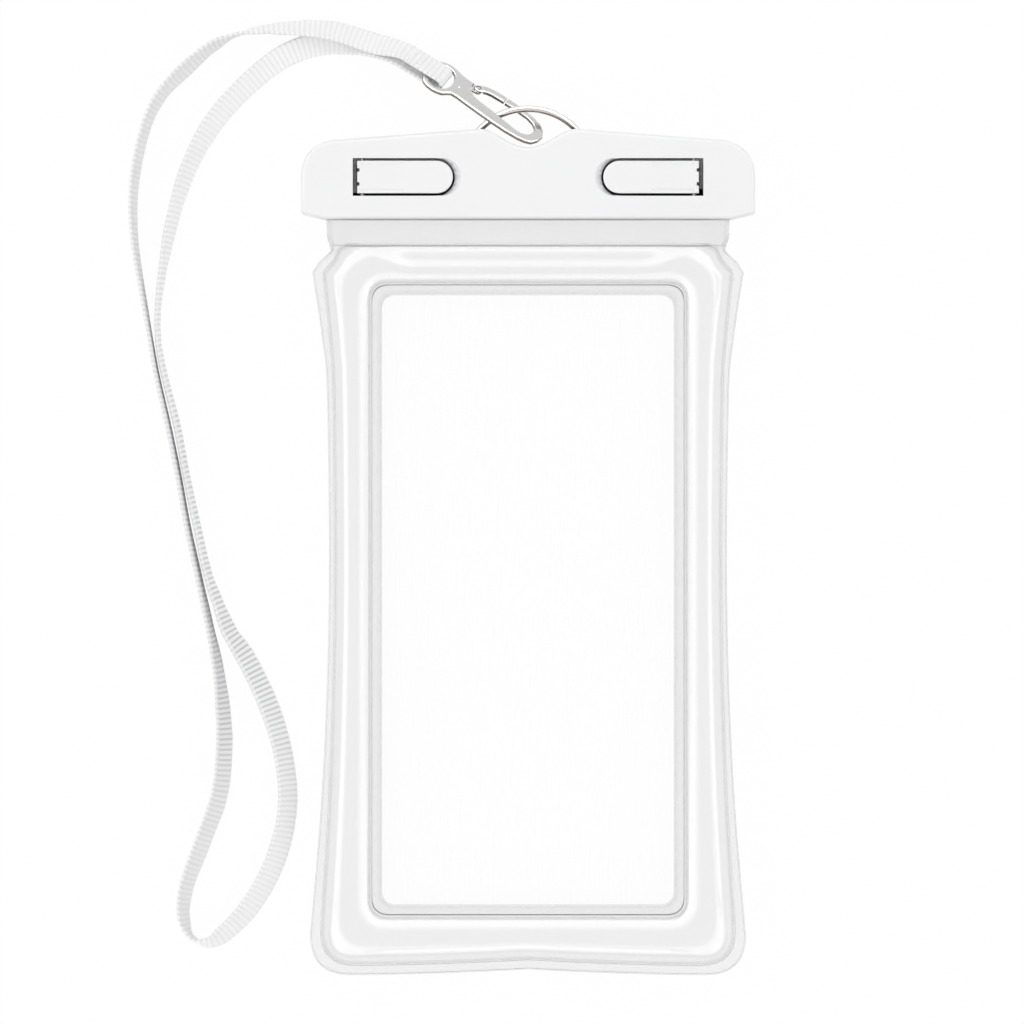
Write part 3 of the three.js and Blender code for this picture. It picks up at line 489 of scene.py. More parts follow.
@dataclass(frozen=True)
class FilmFinish:
    """Clear soft film, frosted where it is welded flat, with faint clouds.

    The mesh carries "frost", 1 on the frosted strip and neck, and "weld", 1 on the weld lines.
    """

    slot: str = "film"
    clear: float = 0.02
    frosted: float = 0.115

    def build(self) -> bpy.types.Material:
        """Makes the material: frost, weld lines and faint clouds in the film."""
        graph = Graph.material("border_film")
        frost = graph.attribute("frost")
        weld = graph.attribute("weld")
        clouds = graph.noise(scale=70.0, detail=0.0)
        body = frost * (self.frosted - self.clear) + self.clear
        shade = graph.colour(frost * 0.7 + 0.1, rgba(0.94, 0.943, 0.95), rgba(0.66, 0.665, 0.67))
        return graph.surface(
            Base_Color=graph.colour(weld * 0.55, shade, rgba(0.6, 0.605, 0.61)),
            Alpha=body + clouds * 0.01 - 0.005 + weld * 0.06,
            Roughness=frost * 0.22 + clouds * 0.06 + 0.08,
            Normal=graph.bump(weld, distance=0.00005, strength=0.3),
        )


@dataclass(frozen=True)
class PaneFinish:
    """Clear smooth pane over the phone."""

    slot: str = "pane"

    def build(self) -> bpy.types.Material:
        """Makes the material: nearly clear, with hairline rubs."""
        graph = Graph.material("clear_pane")
        drawn = graph.stretched((2.2, 0.18, 1.0))
        rubs = graph.noise(scale=420.0, detail=1.0, vector=drawn).step(0.58, 0.72)
        return graph.surface(
            Base_Color=graph.colour(rubs, rgba(0.93, 0.94, 0.95), rgba(0.84, 0.85, 0.87)),
            Alpha=rubs * 0.008,
            Roughness=rubs * 0.15 + 0.05,
        )


@dataclass(frozen=True)
class CushionFinish:
    """Clear inflated film, glossy, denser towards its welded edges.

    The mesh carries "edge", 1 on the two welds and 0 on the crown, "pucker", and "seat", 1 on
    the flat side that lies on the film.
    """

    slot: str = "cushion"
    density: float = 0.16

    def build(self) -> bpy.types.Material:
        """Makes the material: glossy film whose walls look denser where they turn away."""
        graph = Graph.material("air_cushion")
        edge = graph.attribute("edge")
        pucker = graph.attribute("pucker")
        seat = graph.attribute("seat")
        clouds = graph.noise(scale=55.0, detail=0.0)
        turned = Value(
            graph, graph.node("ShaderNodeLayerWeight", None, {"Blend": 0.3}).outputs["Facing"]
        )
        bright, dim = rgba(0.6, 0.602, 0.608), rgba(0.46, 0.462, 0.47)
        shade = graph.colour(edge.step(0.35, 1.0) * 0.5, bright, dim)
        wall = turned * 0.13 + edge.step(0.6, 1.0) * 0.02 + clouds * 0.015 + self.density
        return graph.surface(
            Base_Color=shade,
            Alpha=wall * (1.0 - seat),
            Roughness=clouds * 0.05 + 0.1,
            Coat_Weight=1.0,
            Coat_Roughness=0.08,
            Coat_IOR=1.8,
            IOR=1.9,
            Specular_IOR_Level=1.0,
            Normal=graph.bump(pucker, distance=0.00009, strength=0.2),
        )


@dataclass(frozen=True)
class BeadFinish:
    """The fine raised line that a weld leaves."""

    slot: str = "film"

    def build(self) -> bpy.types.Material:
        """Makes the material: a denser thread of film, uneven along its run."""
        graph = Graph.material("weld_bead")
        uneven = graph.noise(scale=45.0, detail=1.0)
        return graph.surface(
            Base_Color=graph.colour(uneven, rgba(0.93, 0.933, 0.94), rgba(0.86, 0.863, 0.87)),
            Roughness=uneven * 0.1 + 0.12,
            Normal=graph.bump(uneven, distance=0.00004, strength=0.5),
        )


@dataclass(frozen=True)
class NickelFinish:
    """Bright nickel plate on the bail and the hook.

    The mesh carries "tarnish", 1 on the faces where dark shade and a dark reflection are painted.
    """

    slot: str = "nickel"

    def build(self) -> bpy.types.Material:
        """Makes the material: bright plate with polishing lines, dull worn spots, and painted dark
        shade and reflection on the marked walls.
        """
        graph = Graph.material("nickel_plate")
        lines = graph.noise(scale=2400.0, detail=3.0, vector=graph.stretched((1.0, 0.25, 1.0)))
        worn = graph.noise(scale=320.0, detail=4.0).step(0.55, 0.75)
        tarnish = graph.attribute("tarnish")
        bright = graph.colour(worn * 0.25, rgba(0.76, 0.755, 0.75), rgba(0.64, 0.62, 0.6))
        return graph.surface(
            # Painted shade: the marked faces turn dark brown, standing in for the dark reflection
            # and shade on the hook's walls and the wire's near side.
            Base_Color=graph.colour(tarnish, bright, rgba(0.2, 0.15, 0.12)),
            Metallic=1.0,
            Roughness=lines * 0.06 + worn * 0.05 + 0.12,
            Normal=graph.bump(lines, distance=0.000006, strength=0.4),
        )


@dataclass(frozen=True)
class SteelFinish:
    """Dark drawn steel of the lever pins, made this dark so that where the pins show in the lever
    gaps they pass for the gaps' shade.
    """

    slot: str = "steel"

    def build(self) -> bpy.types.Material:
        """Makes the material: grey steel with lines drawn along the pin."""
        graph = Graph.material("pin_steel")
        lines = graph.noise(scale=3000.0, detail=2.0, vector=graph.stretched((1.0, 0.04, 1.0)))
        return graph.surface(
            # Painted shade: the steel is kept this dark so the pins read as the shade in the lever
            # gaps.
            Base_Color=graph.colour(lines, rgba(0.2, 0.205, 0.21), rgba(0.13, 0.135, 0.14)),
            Metallic=1.0,
            Roughness=lines * 0.15 + 0.2,
            Normal=graph.bump(lines, distance=0.00001, strength=0.5),
        )


@dataclass(frozen=True)
class RibbonFinish:
    """White woven ribbon with crosswise ribs and stitched edges.

    The mesh carries "along" and "across", millimetres along the ribbon and from its middle, and
    "backing", 1 on the back face, which is painted greyer: partly a duller weave, partly painted
    shade. The gaps between the ribs are painted darker as shade in the grooves, most in a band
    across the strap where light grazes the ribs.
    """

    slot: str = "ribbon"
    pitch: float = 1.38
    half_width: float = 3.2
    # Painted shade: how far from the frame's middle height, in metres, the band of darker rib
    # grooves reaches before it fades out.
    slack: tuple[float, float] = (0.03, 0.085)

    def build(self) -> bpy.types.Material:
        """Makes the material: ribs, the warp between them, a dashed selvedge, and painted shade in
        the rib grooves and on the back face.
        """
        graph = Graph.material("woven_ribbon")
        along = graph.attribute("along")
        across = graph.attribute("across")
        turn = 2.0 * math.pi
        rib = (along * (turn / self.pitch)).wave()
        warp = (across * (turn / 0.32)).wave()
        selvedge = across.size().step(self.half_width - 0.62, self.half_width - 0.5)
        dash = (along * (turn / self.pitch) + 0.9).wave().step(0.2, 0.55)
        plain = 1.0 - selvedge
        height = rib * plain * 0.8 + warp * plain * 0.15 + dash * selvedge
        fuzz = graph.noise(scale=2600.0, detail=3.0)
        _, north, _ = graph.axes()
        # Painted shade: drawn marks a band across the strap, by its height in the frame, where the
        # rib grooves are painted darker and the ribbon greyer, as light grazing the ribs there
        # would shade them.
        drawn = 1.0 - north.size().step(*self.slack)
        strong = drawn * 0.75 + graph.noise(scale=24.0, detail=1.0) * 0.3 + 0.05
        # Painted shade: the grooves between the ribs are darkened by strong, which varies at
        # random along the strap; the dashes of the selvedge stitching are the ribbon's own
        # pattern.
        gap = (1.0 - rib.step(0.05, 0.6)) * plain * strong + (1.0 - dash) * selvedge * 0.3
        # Painted shade: the band and the back face are painted greyer; on the back face this is
        # partly a duller weave.
        grey = drawn * 0.08 + graph.attribute("backing") * 0.2
        white, shadow = rgba(0.945, 0.945, 0.948), rgba(0.6, 0.6, 0.61)
        tone = graph.colour(gap + grey + fuzz * 0.06, white, shadow)
        return graph.surface(
            Base_Color=tone,
            Roughness=fuzz * 0.1 + 0.72,
            Sheen_Weight=0.25,
            Sheen_Roughness=0.5,
            Normal=graph.bump(height + fuzz * 0.2, distance=0.00012, strength=0.5),
        )


@dataclass(frozen=True)
class ThreadFinish:
    """White sewing thread."""

    slot: str = "ribbon"

    def build(self) -> bpy.types.Material:
        """Makes the material: twisted thread with a little sheen."""
        graph = Graph.material("sewing_thread")
        across, along, _ = graph.axes()
        twist = ((across + along) * 21000.0).wave()
        return graph.surface(
            Base_Color=graph.colour(twist * 0.5, rgba(0.92, 0.92, 0.92), rgba(0.68, 0.68, 0.69)),
            Roughness=twist * 0.1 + 0.55,
            Sheen_Weight=0.2,
            Normal=graph.bump(twist, distance=0.00003, strength=0.6),
        )


class Finishes:
    """Builds each material once and puts it on pieces."""

    def __init__(self) -> None:
        """Starts with none built."""
        self.built: dict[str, bpy.types.Material] = {}

    def dress(self, piece: bpy.types.Object, finish: object) -> bpy.types.Object:
        """Gives a piece its material.

        Args:
            piece: The object to dress.
            finish: One of the finish classes above.

        Returns:
            The same object.
        """
        name = type(finish).__name__
        if name not in self.built:
            self.built[name] = finish.build()
        piece.data.materials.clear()
        piece.data.materials.append(self.built[name])
        return piece


def refined_copy(node: str, name: str, bevel: float = 0.0, levels: int = 0) -> bpy.types.Object:
    """Copies a CAD node's mesh and finishes it for a close look.

    Args:
        node: The CAD node.
        name: The new piece's name.
        bevel: Width in millimetres of a small bevel on its sharp edges.
        levels: Levels of subdivision for a round piece.

    Returns:
        The finished copy.
    """
    mesh = frame["nodes"][node].data.copy()
    piece = link(bpy.data.objects.new(name, mesh))
    select_only(piece)
    bpy.ops.object.mode_set(mode="EDIT")
    bpy.ops.mesh.select_all(action="SELECT")
    bpy.ops.mesh.customdata_custom_splitnormals_clear()
    bpy.ops.mesh.remove_doubles(threshold=MERGE_DISTANCE)
    if levels:
        bpy.ops.mesh.tris_convert_to_quads(
            face_threshold=QUAD_ANGLE, shape_threshold=QUAD_ANGLE
        )
    else:
        bpy.ops.mesh.dissolve_limited(angle_limit=FLAT_ANGLE)
    bpy.ops.object.mode_set(mode="OBJECT")
    if levels:
        apply_modifier(piece, "SUBSURF", levels=levels, render_levels=levels)
    if bevel:
        apply_modifier(
            piece, "BEVEL", width=bevel * MM, segments=2, limit_method="ANGLE",
            angle_limit=BEVEL_ANGLE, use_clamp_overlap=True, miter_outer="MITER_ARC",
        )
    smooth_by_angle(piece, 40.0)
    apply_modifier(piece, "WEIGHTED_NORMAL", keep_sharp=True)
    return piece


def sheet_piece(
    name: str, upper: np.ndarray, lower: np.ndarray, wrap: bool,
    numbers: dict[str, np.ndarray],
) -> bpy.types.Object:
    """Makes a closed sheet between two grids of points.

    Args:
        name: The piece's name.
        upper: Rows by columns of points on one face, in millimetres.
        lower: The same on the other face.
        wrap: Whether the last row joins the first.
        numbers: Numbers per grid point for the material to read.

    Returns:
        The new object.
    """
    rows, columns, _ = upper.shape
    count = rows * columns
    faces: list[tuple[int, ...]] = []
    for row in range(rows if wrap else rows - 1):
        here, there = row * columns, ((row + 1) % rows) * columns
        for column in range(columns - 1):
            a, b, c, d = here + column, there + column, there + column + 1, here + column + 1
            faces.append((a, b, c, d))
            faces.append((count + a, count + d, count + c, count + b))
        last = columns - 1
        faces.append((here, count + here, count + there, there))
        faces.append((here + last, there + last, count + there + last, count + here + last))
    if not wrap:
        end = (rows - 1) * columns
        for column in range(columns - 1):
            faces.append((column, column + 1, count + column + 1, count + column))
            low, high = end + column, count + end + column
            faces.append((low, high, high + 1, low + 1))
    vertices = np.concatenate([upper.reshape(-1, 3), lower.reshape(-1, 3)])
    piece = mesh_piece(name, vertices, faces)
    for label, values in numbers.items():
        number_attribute(piece, label, np.tile(np.asarray(values).ravel(), 2))
    number_attribute(piece, "seat", np.repeat([0.0, 1.0], count))
    smooth_by_angle(piece, 50.0)
    return piece


def swept_piece(
    name: str, path: np.ndarray, normals: np.ndarray, binormals: np.ndarray,
    section: np.ndarray, closed: bool,
) -> bpy.types.Object:
    """Sweeps a section along a path with given frames.

    Args:
        name: The piece's name.
        path: The path's points in millimetres.
        normals: The section's first axis at each point.
        binormals: The section's second axis at each point.
        section: The section's points.
        closed: Whether the path closes on itself. If it doesn't, its ends are capped.

    Returns:
        The new object.
    """
    rows, sides = len(path), len(section)
    rings = (
        path[:, None, :]
        + normals[:, None, :] * section[None, :, 0:1]
        + binormals[:, None, :] * section[None, :, 1:2]
    )
    faces: list[tuple[int, ...]] = []
    for row in range(rows if closed else rows - 1):
        here, there = row * sides, ((row + 1) % rows) * sides
        for side in range(sides):
            following = (side + 1) % sides
            faces.append((here + side, here + following, there + following, there + side))
    if not closed:
        faces.append(tuple(range(sides)))
        faces.append(tuple(range((rows - 1) * sides, rows * sides)))
    return mesh_piece(name, rings.reshape(-1, 3), faces)


def evenly(points: np.ndarray, count: int) -> np.ndarray:
    """Picks points spaced evenly along a polyline.

    Args:
        points: The polyline.
        count: How many equal parts it is cut into.

    Returns:
        count + 1 points, with both ends.
    """
    reach = run_along(points)
    wanted = np.linspace(0.0, reach[-1], count + 1)
    return np.stack([np.interp(wanted, reach, column) for column in points.T], axis=1)


def bend(
    start: tuple[float, float], control: tuple[float, float], end: tuple[float, float]
) -> np.ndarray:
    """A quadratic curve from start to end, drawn towards a control point."""
    t = np.linspace(0.0, 1.0, BEND_STEPS)[:, None]
    a, b, c = (np.array(p, float) for p in (start, control, end))
    return (1 - t) ** 2 * a + 2 * t * (1 - t) * b + t * t * c


def spline(points: list[tuple[float, ...]]) -> np.ndarray:
    """A smooth curve through a few points."""
    known = np.array(points, float)
    padded = np.concatenate([known[:1], known, known[-1:]])
    out = [known[0]]
    for i in range(1, len(known)):
        p0, p1, p2, p3 = padded[i - 1], padded[i], padded[i + 1], padded[i + 2]
        v0, v1 = (p2 - p0) / 2, (p3 - p1) / 2
        cubic, square = 2 * p1 - 2 * p2 + v0 + v1, -3 * p1 + 3 * p2 - 2 * v0 - v1
        for t in np.linspace(0.0, 1.0, CURVE_STEPS)[1:]:
            out.append(cubic * t**3 + square * t**2 + v0 * t + p1)
    return np.array(out)


def centripetal(knots: np.ndarray, shares: np.ndarray) -> np.ndarray:
    """A smooth span that neither loops nor swings out, however uneven its knots lie.

    Args:
        knots: Four points in a row. The span runs between the middle two.
        shares: The shares of the way that are wanted, from 0 to 1.

    Returns:
        A point for each share.
    """
    p0, p1, p2, p3 = knots
    t1 = math.sqrt(np.linalg.norm(p1 - p0))
    t2 = t1 + math.sqrt(np.linalg.norm(p2 - p1))
    t3 = t2 + math.sqrt(np.linalg.norm(p3 - p2))
    t = (t1 + shares * (t2 - t1))[:, None]
    a1 = (t1 - t) / t1 * p0 + t / t1 * p1
    a2 = (t2 - t) / (t2 - t1) * p1 + (t - t1) / (t2 - t1) * p2
    a3 = (t3 - t) / (t3 - t2) * p2 + (t - t2) / (t3 - t2) * p3
    b1 = (t2 - t) / t2 * a1 + t / t2 * a2
    b2 = (t3 - t) / (t3 - t1) * a2 + (t - t1) / (t3 - t1) * a3
    return (t2 - t) / (t2 - t1) * b1 + (t - t1) / (t2 - t1) * b2


@dataclass
class Contours:
    """The pouch's outlines as loops whose stations lie opposite each other, in millimetres."""

    pane_width: float = 77.6
    pane_length: float = 162.0
    pane_corner: float = 4.0
    strip: float = 3.1
    neck: float = 6.9
    mouth_width: float = 107.8
    seal_half: float = 43.5
    flat_half: float = 45.1
    cushion_top: float = 10.0
    cushion_side: float = 9.3
    cushion_bottom: float = 12.6
    cushion_corner: float = 9.0
    bottom_rise: float = 1.5
    flare_bottom: float = 3.6
    flare_top: float = 3.0
    flange: float = 1.7
    flange_bottom: float = 2.9
    flange_flare: float = 1.4
    shoulder: float = 7.2
    neck_inset: float = 5.6
    flat_inset: float = 0.9
    finer: int = 5

    def __post_init__(self) -> None:
        """Works out the lines that the loops share."""
        self.pane_top = -self.neck - self.cushion_top - self.strip
        self.pane_bottom = self.pane_top - self.pane_length
        self.inner_half = self.pane_width / 2 + self.strip
        self.outer_half = self.inner_half + self.cushion_side
        self.outer_bottom = self.pane_bottom - self.strip - self.cushion_bottom
        self.counts = [self.finer * n for n in (4, 5, 9, 4, 1, 4)]

    def loop(self, parts: list[np.ndarray]) -> np.ndarray:
        """Joins the right half's six parts and mirrors them.

        Args:
            parts: Bottom, bottom corner, side, shoulder, neck and top, in that order.

        Returns:
            The loop's stations.
        """
        stations = [evenly(part, count)[:-1] for part, count in zip(parts, self.counts)]
        right = np.concatenate(stations)
        top = parts[-1][-1:]
        left = right[1:][::-1] * np.array([-1.0, 1.0])
        return np.concatenate([right, top, left])

    @property
    def top_station(self) -> int:
        """The number of the station at the middle of the top."""
        return sum(self.counts)

    def rounded(self, half: float, bottom: float, top: float, corner: float) -> np.ndarray:
        """A rounded rectangle as a loop."""
        return self.loop([
            np.array([(0.0, bottom), (half - corner, bottom)]),
            bend((half - corner, bottom), (half, bottom), (half, bottom + corner)),
            np.array([(half, bottom + corner), (half, top - corner)]),
            bend((half, top - corner), (half, top), (half - corner, top)),
            np.array([(half - corner, top), (half - 2 * corner, top)]),
            np.array([(half - 2 * corner, top), (0.0, top)]),
        ])

    def opening(self) -> np.ndarray:
        """The films' opening behind the pane."""
        return self.rounded(self.pane_width / 2, self.pane_bottom, self.pane_top, self.pane_corner)

    def inner(self, inset: float = 0.0) -> np.ndarray:
        """The inner weld."""
        return self.rounded(
            self.inner_half - inset,
            self.pane_bottom - self.strip + inset,
            self.pane_top + self.strip - inset,
            self.pane_corner + 1 - 0.5 * inset,
        )

    def at_mouth(self, plan: np.ndarray) -> np.ndarray:
        """Which stations of a loop lie on the neck or in the mouth."""
        return plan[:, 1] > -self.neck - 0.5

    @staticmethod
    def side(
        half: float, low_flare: float, high_flare: float, bottom: float, top: float
    ) -> np.ndarray:
        """A side that draws in at the waist and flares to both ends.

        Args:
            half: Half the width at the waist.
            low_flare: How much wider each side is at the bottom.
            high_flare: How much wider each side is at the top.
            bottom: The height at which it starts.
            top: The height at which it ends.

        Returns:
            The right side, from the bottom up.
        """
        span = top - bottom
        return spline([
            (half + low_flare, bottom),
            (half + 0.34 * low_flare, bottom + 0.23 * span),
            (half, bottom + 0.5 * span),
            (half + 0.1 * high_flare, bottom + 0.81 * span),
            (half + 0.4 * high_flare, bottom + 0.9 * span),
            (half + high_flare, top),
        ])

    def outer(self) -> np.ndarray:
        """The outer weld of the cushions."""
        shoulder_y = -self.neck - self.shoulder
        bottom = self.outer_bottom
        wide = self.outer_half + self.flare_bottom
        high = self.outer_half + self.flare_top
        neck_x = self.mouth_width / 2 - self.neck_inset
        flat_x = self.flat_half - self.flat_inset
        corner = self.cushion_corner
        return self.loop([
            bend((0, bottom + self.bottom_rise), (wide / 2, bottom), (wide - corner, bottom)),
            bend((wide - corner, bottom), (wide, bottom), (wide, bottom + corner)),
            self.side(
                self.outer_half, self.flare_bottom, self.flare_top,
                bottom + corner, shoulder_y,
            ),
            spline([
                (high, shoulder_y),
                (high - 3, shoulder_y + 3.5),
                (neck_x + 1.6, -self.neck - 0.9),
                (neck_x - 0.5, -self.neck),
            ]),
            np.array([(neck_x - 0.5, -self.neck), (flat_x, -self.neck)]),
            np.array([(flat_x, -self.neck), (0.0, -self.neck)]),
        ])

    def rim(self, mouth_y: float) -> np.ndarray:
        """The films' outer edge, which ends at a height in the mouth."""
        shoulder_y = -self.neck - self.shoulder
        half = self.outer_half + self.flange
        low = self.flare_bottom + self.flange_flare
        high = self.flare_top + self.flange_flare
        bottom = self.outer_bottom - self.flange_bottom
        wide = half + low
        corner = self.cushion_corner + self.flange
        mouth = self.mouth_width / 2
        if mouth_y > 0:
            neck = [(mouth - 0.6, -self.neck + 1.6), (mouth, mouth_y)]
        else:
            neck = [(mouth - 1.2, mouth_y)]
        return self.loop([
            bend((0, bottom + self.bottom_rise), (wide / 2, bottom), (wide - corner, bottom)),
            bend((wide - corner, bottom), (wide, bottom), (wide, bottom + corner)),
            self.side(half, low, high, bottom + corner, shoulder_y),
            np.array([
                (half + high, shoulder_y),
                (half + high - 1.7, shoulder_y + 2.8),
                (mouth - 1.7, -self.neck - 1.3),
                *neck,
            ]),
            np.array([(neck[-1][0], mouth_y), (self.flat_half, mouth_y)]),
            np.array([(self.flat_half, mouth_y), (0.0, mouth_y)]),
        ])


@dataclass
class Pouch:
    """The films, the panes and the two air cushions.

    Each row of a film is its share of the way over its band, and how much weld line shows there.
    """

    finishes: Finishes
    contours: Contours = field(default_factory=Contours)
    film: float = 0.4
    open_half: float = 3.9
    rim_half: float = 0.35
    fit: float = 0.3
    seal_depth: float = 5.1
    closing_run: float = 6.5
    fold_start: float = 0.45
    strip_rows: tuple[tuple[float, float], ...] = ((0.0, 1.0), (0.5, 0.0), (0.9, 0.0))
    inner_rows: tuple[tuple[float, float], ...] = ((0.0, 0.7), (0.03, 1.0), (0.06, 0.0))
    outer_rows: tuple[tuple[float, float], ...] = ((0.94, 0.0), (0.97, 0.0))
    flange_rows: tuple[tuple[float, float], ...] = (
        (0.0, 0.8), (0.06, 0.0), (0.12, 0.0), (0.3, 0.0),
        (0.5, 0.0), (0.7, 0.0), (0.9, 0.5), (1.0, 1.0),
    )
    flange_frost: float = 0.8
    neck_heights: tuple[float, ...] = (-5.3, -4.0, -2.5, -1.0, 0.0, 1.5, 3.3)
    neck_halves: tuple[float, float, float] = (52.7, 53.2, 53.7)
    neck_widening: float = 1.6
    closing_widening: float = 0.3
    neck_held: float = 0.4
    columns: int = 27
    crowding: float = 0.045
    fullness: float = 0.5
    top_lean: float = 0.42
    corner_softness: float = 6.0
    ripple: float = 0.03
    ripple_waves: tuple[tuple[int, float, float], ...] = ((23, 0.7, 0.5), (37, 2.1, 0.3))
    pucker_width: float = 0.12
    edge_width: float = 0.03
    fold_knots: tuple[tuple[float, float], ...] = (
        (53.5, -3.6), (53.0, -4.9), (52.3, -6.4), (51.9, -7.4), (52.1, -8.2), (53.0, -9.3),
    )

    def __post_init__(self) -> None:
        """Draws the loops that every layer uses."""
        self.inner = self.contours.inner()
        self.outer = self.contours.outer()
        stations = np.arange(len(self.outer))
        from_top = np.abs(stations - self.contours.top_station)
        flat = self.contours.counts[4] + self.contours.counts[5]
        beyond = np.abs(self.outer[:, 0]) - self.contours.seal_half
        past = smoothstep(beyond / self.closing_run)
        self.closing = np.where(from_top > flat, 1.0, past)

    def fold(self, share: float) -> np.ndarray:
        """The film's distance from the mid-plane at a share of the way from weld to weld."""
        fall = smoothstep((share - self.fold_start) / (1.0 - self.fold_start)) * self.closing
        return mixed(self.open_half, self.rim_half, fall)

    def edge_offset(self, edge: np.ndarray) -> np.ndarray:
        """The film's distance from the mid-plane along its outer edge."""
        flat = self.contours.flat_half
        past = (np.abs(edge[:, 0]) - flat) / (self.contours.mouth_width / 2 - 2 - flat)
        fall = np.where(self.contours.at_mouth(edge), smoothstep(past), 1.0)
        return mixed(self.open_half, self.rim_half, fall)

    @staticmethod
    def outward(plan: np.ndarray) -> np.ndarray:
        """Unit steps that point out of a loop that runs anticlockwise."""
        ahead = unit(np.roll(plan, -1, axis=0) - np.roll(plan, 1, axis=0))
        return np.column_stack([ahead[:, 1], -ahead[:, 0]])

    @staticmethod
    def softened(plan: np.ndarray, width: float) -> np.ndarray:
        """Rounds a loop's corners.

        Args:
            plan: The loop's stations.
            width: How far along the loop each one is averaged, in millimetres.

        Returns:
            The rounder loop.
        """
        run = run_along(plan)
        ahead = np.linalg.norm(np.roll(plan, -1, axis=0) - plan, axis=1)
        share = (ahead + np.roll(ahead, 1)) / 2
        apart = np.abs(run[:, None] - run[None, :])
        apart = np.minimum(apart, float(np.sum(ahead)) - apart)
        weight = np.exp(-((apart / width) ** 2)) * share[None, :]
        return weight @ plan / np.sum(weight, axis=1, keepdims=True)

    @staticmethod
    def raised(plan: np.ndarray, face: Face, offset: np.ndarray | float) -> np.ndarray:
        """Lifts plan points off the mid-plane on one face."""
        heights = MID_Z + face.value * np.broadcast_to(offset, (len(plan),))
        return np.column_stack([plan, heights])

    def film_band(self, face: Face, word: str, rows: list[tuple[object, ...]]) -> bpy.types.Object:
        """Builds one band of a film.

        Args:
            face: Which film.
            word: Which band.
            rows: The loop, distance from the mid-plane, frost and weld of each of its rows.

        Returns:
            The band.
        """
        plans, depths, frosts, welds = zip(*rows)
        grid, depth = np.stack(plans, axis=1), np.stack(depths, axis=1)
        surfaces = []
        for lift in (self.film / 2, -self.film / 2):
            heights = MID_Z + face.value * (depth + lift)
            surfaces.append(np.concatenate([grid, heights[..., None]], axis=2))
        numbers = {
            label: np.stack([np.broadcast_to(value, len(grid)) for value in values], axis=1)
            for label, values in (("frost", frosts), ("weld", welds))
        }
        piece = sheet_piece(f"{face.word}_{word}_film", *surfaces, True, numbers)
        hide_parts(f"{face.word}_film")
        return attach(self.finishes.dress(piece, FilmFinish()), "pouch")

    def border_film(self, face: Face, mouth_y: float) -> list[bpy.types.Object]:
        """Builds one film: the frosted strip inside the cushion, and the flange and neck outside.

        The cushion's own seat is the film between the two.

        Args:
            face: Which film.
            mouth_y: Where its upper edge ends.

        Returns:
            The strip and the flange.
        """
        opening, edge = self.contours.opening(), self.contours.rim(mouth_y)
        flat = np.full(len(edge), self.open_half)
        last, at_edge = self.fold(1.0), self.edge_offset(edge)
        frost = np.where(self.contours.at_mouth(edge), 1.0, self.flange_frost)
        strip: list[tuple[object, ...]] = [
            (mixed(opening, self.inner, share), flat, 1.0, weld) for share, weld in self.strip_rows
        ]
        flange: list[tuple[object, ...]] = []
        for rows, band in ((self.inner_rows, strip), (self.outer_rows, flange)):
            for share, weld in rows:
                plan = mixed(self.inner, self.outer, share)
                band.append((plan, self.fold(share), float(share == 0.0), weld))
        for share, weld in self.flange_rows:
            plan = mixed(self.outer, edge, share)
            flange.append((plan, mixed(last, at_edge, share), frost, weld))
        return [self.film_band(face, "strip", strip), self.film_band(face, "flange", flange)]

    def front_neck(self) -> bpy.types.Object:
        """Builds the front film's neck, which runs up into the mouth under the front bar."""
        contours = self.contours
        low = self.fit - contours.neck
        heights = np.array([low, low + 0.5, *self.neck_heights, self.seal_depth])
        shares = np.sort(np.append(np.linspace(-1.0, 1.0, 61), [-0.99, -0.98, 0.98, 0.99]))
        grid = np.zeros((len(heights), len(shares), 3))
        frost = np.ones((len(heights), len(shares)))
        weld = np.zeros_like(frost)
        weld[:, 1:3] = weld[:, -3:-1] = 1.0
        taper = [low, self.neck_heights[0], self.seal_depth]
        for row, y in enumerate(heights):
            x = shares * np.interp(y, taper, self.neck_halves)
            rise = (y + contours.neck) / (contours.neck + self.seal_depth)
            start = contours.seal_half + self.neck_widening * rise
            width = self.closing_run + self.closing_widening * rise
            past = smoothstep((np.abs(x) - start) / width)
            grid[row, :, 0] = x
            grid[row, :, 1] = y
            grid[row, :, 2] = MID_Z + mixed(self.open_half, self.rim_half, past)
        lift = UP * self.film / 2
        numbers = {"frost": frost, "weld": weld}
        piece = sheet_piece("front_neck_film", grid + lift, grid - lift, False, numbers)
        self.finishes.dress(piece, FilmFinish())
        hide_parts("front_neck")
        start, end = to_frame(np.array([[0.0, low, MID_Z], [0.0, self.neck_held, MID_Z]]))
        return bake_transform(piece)

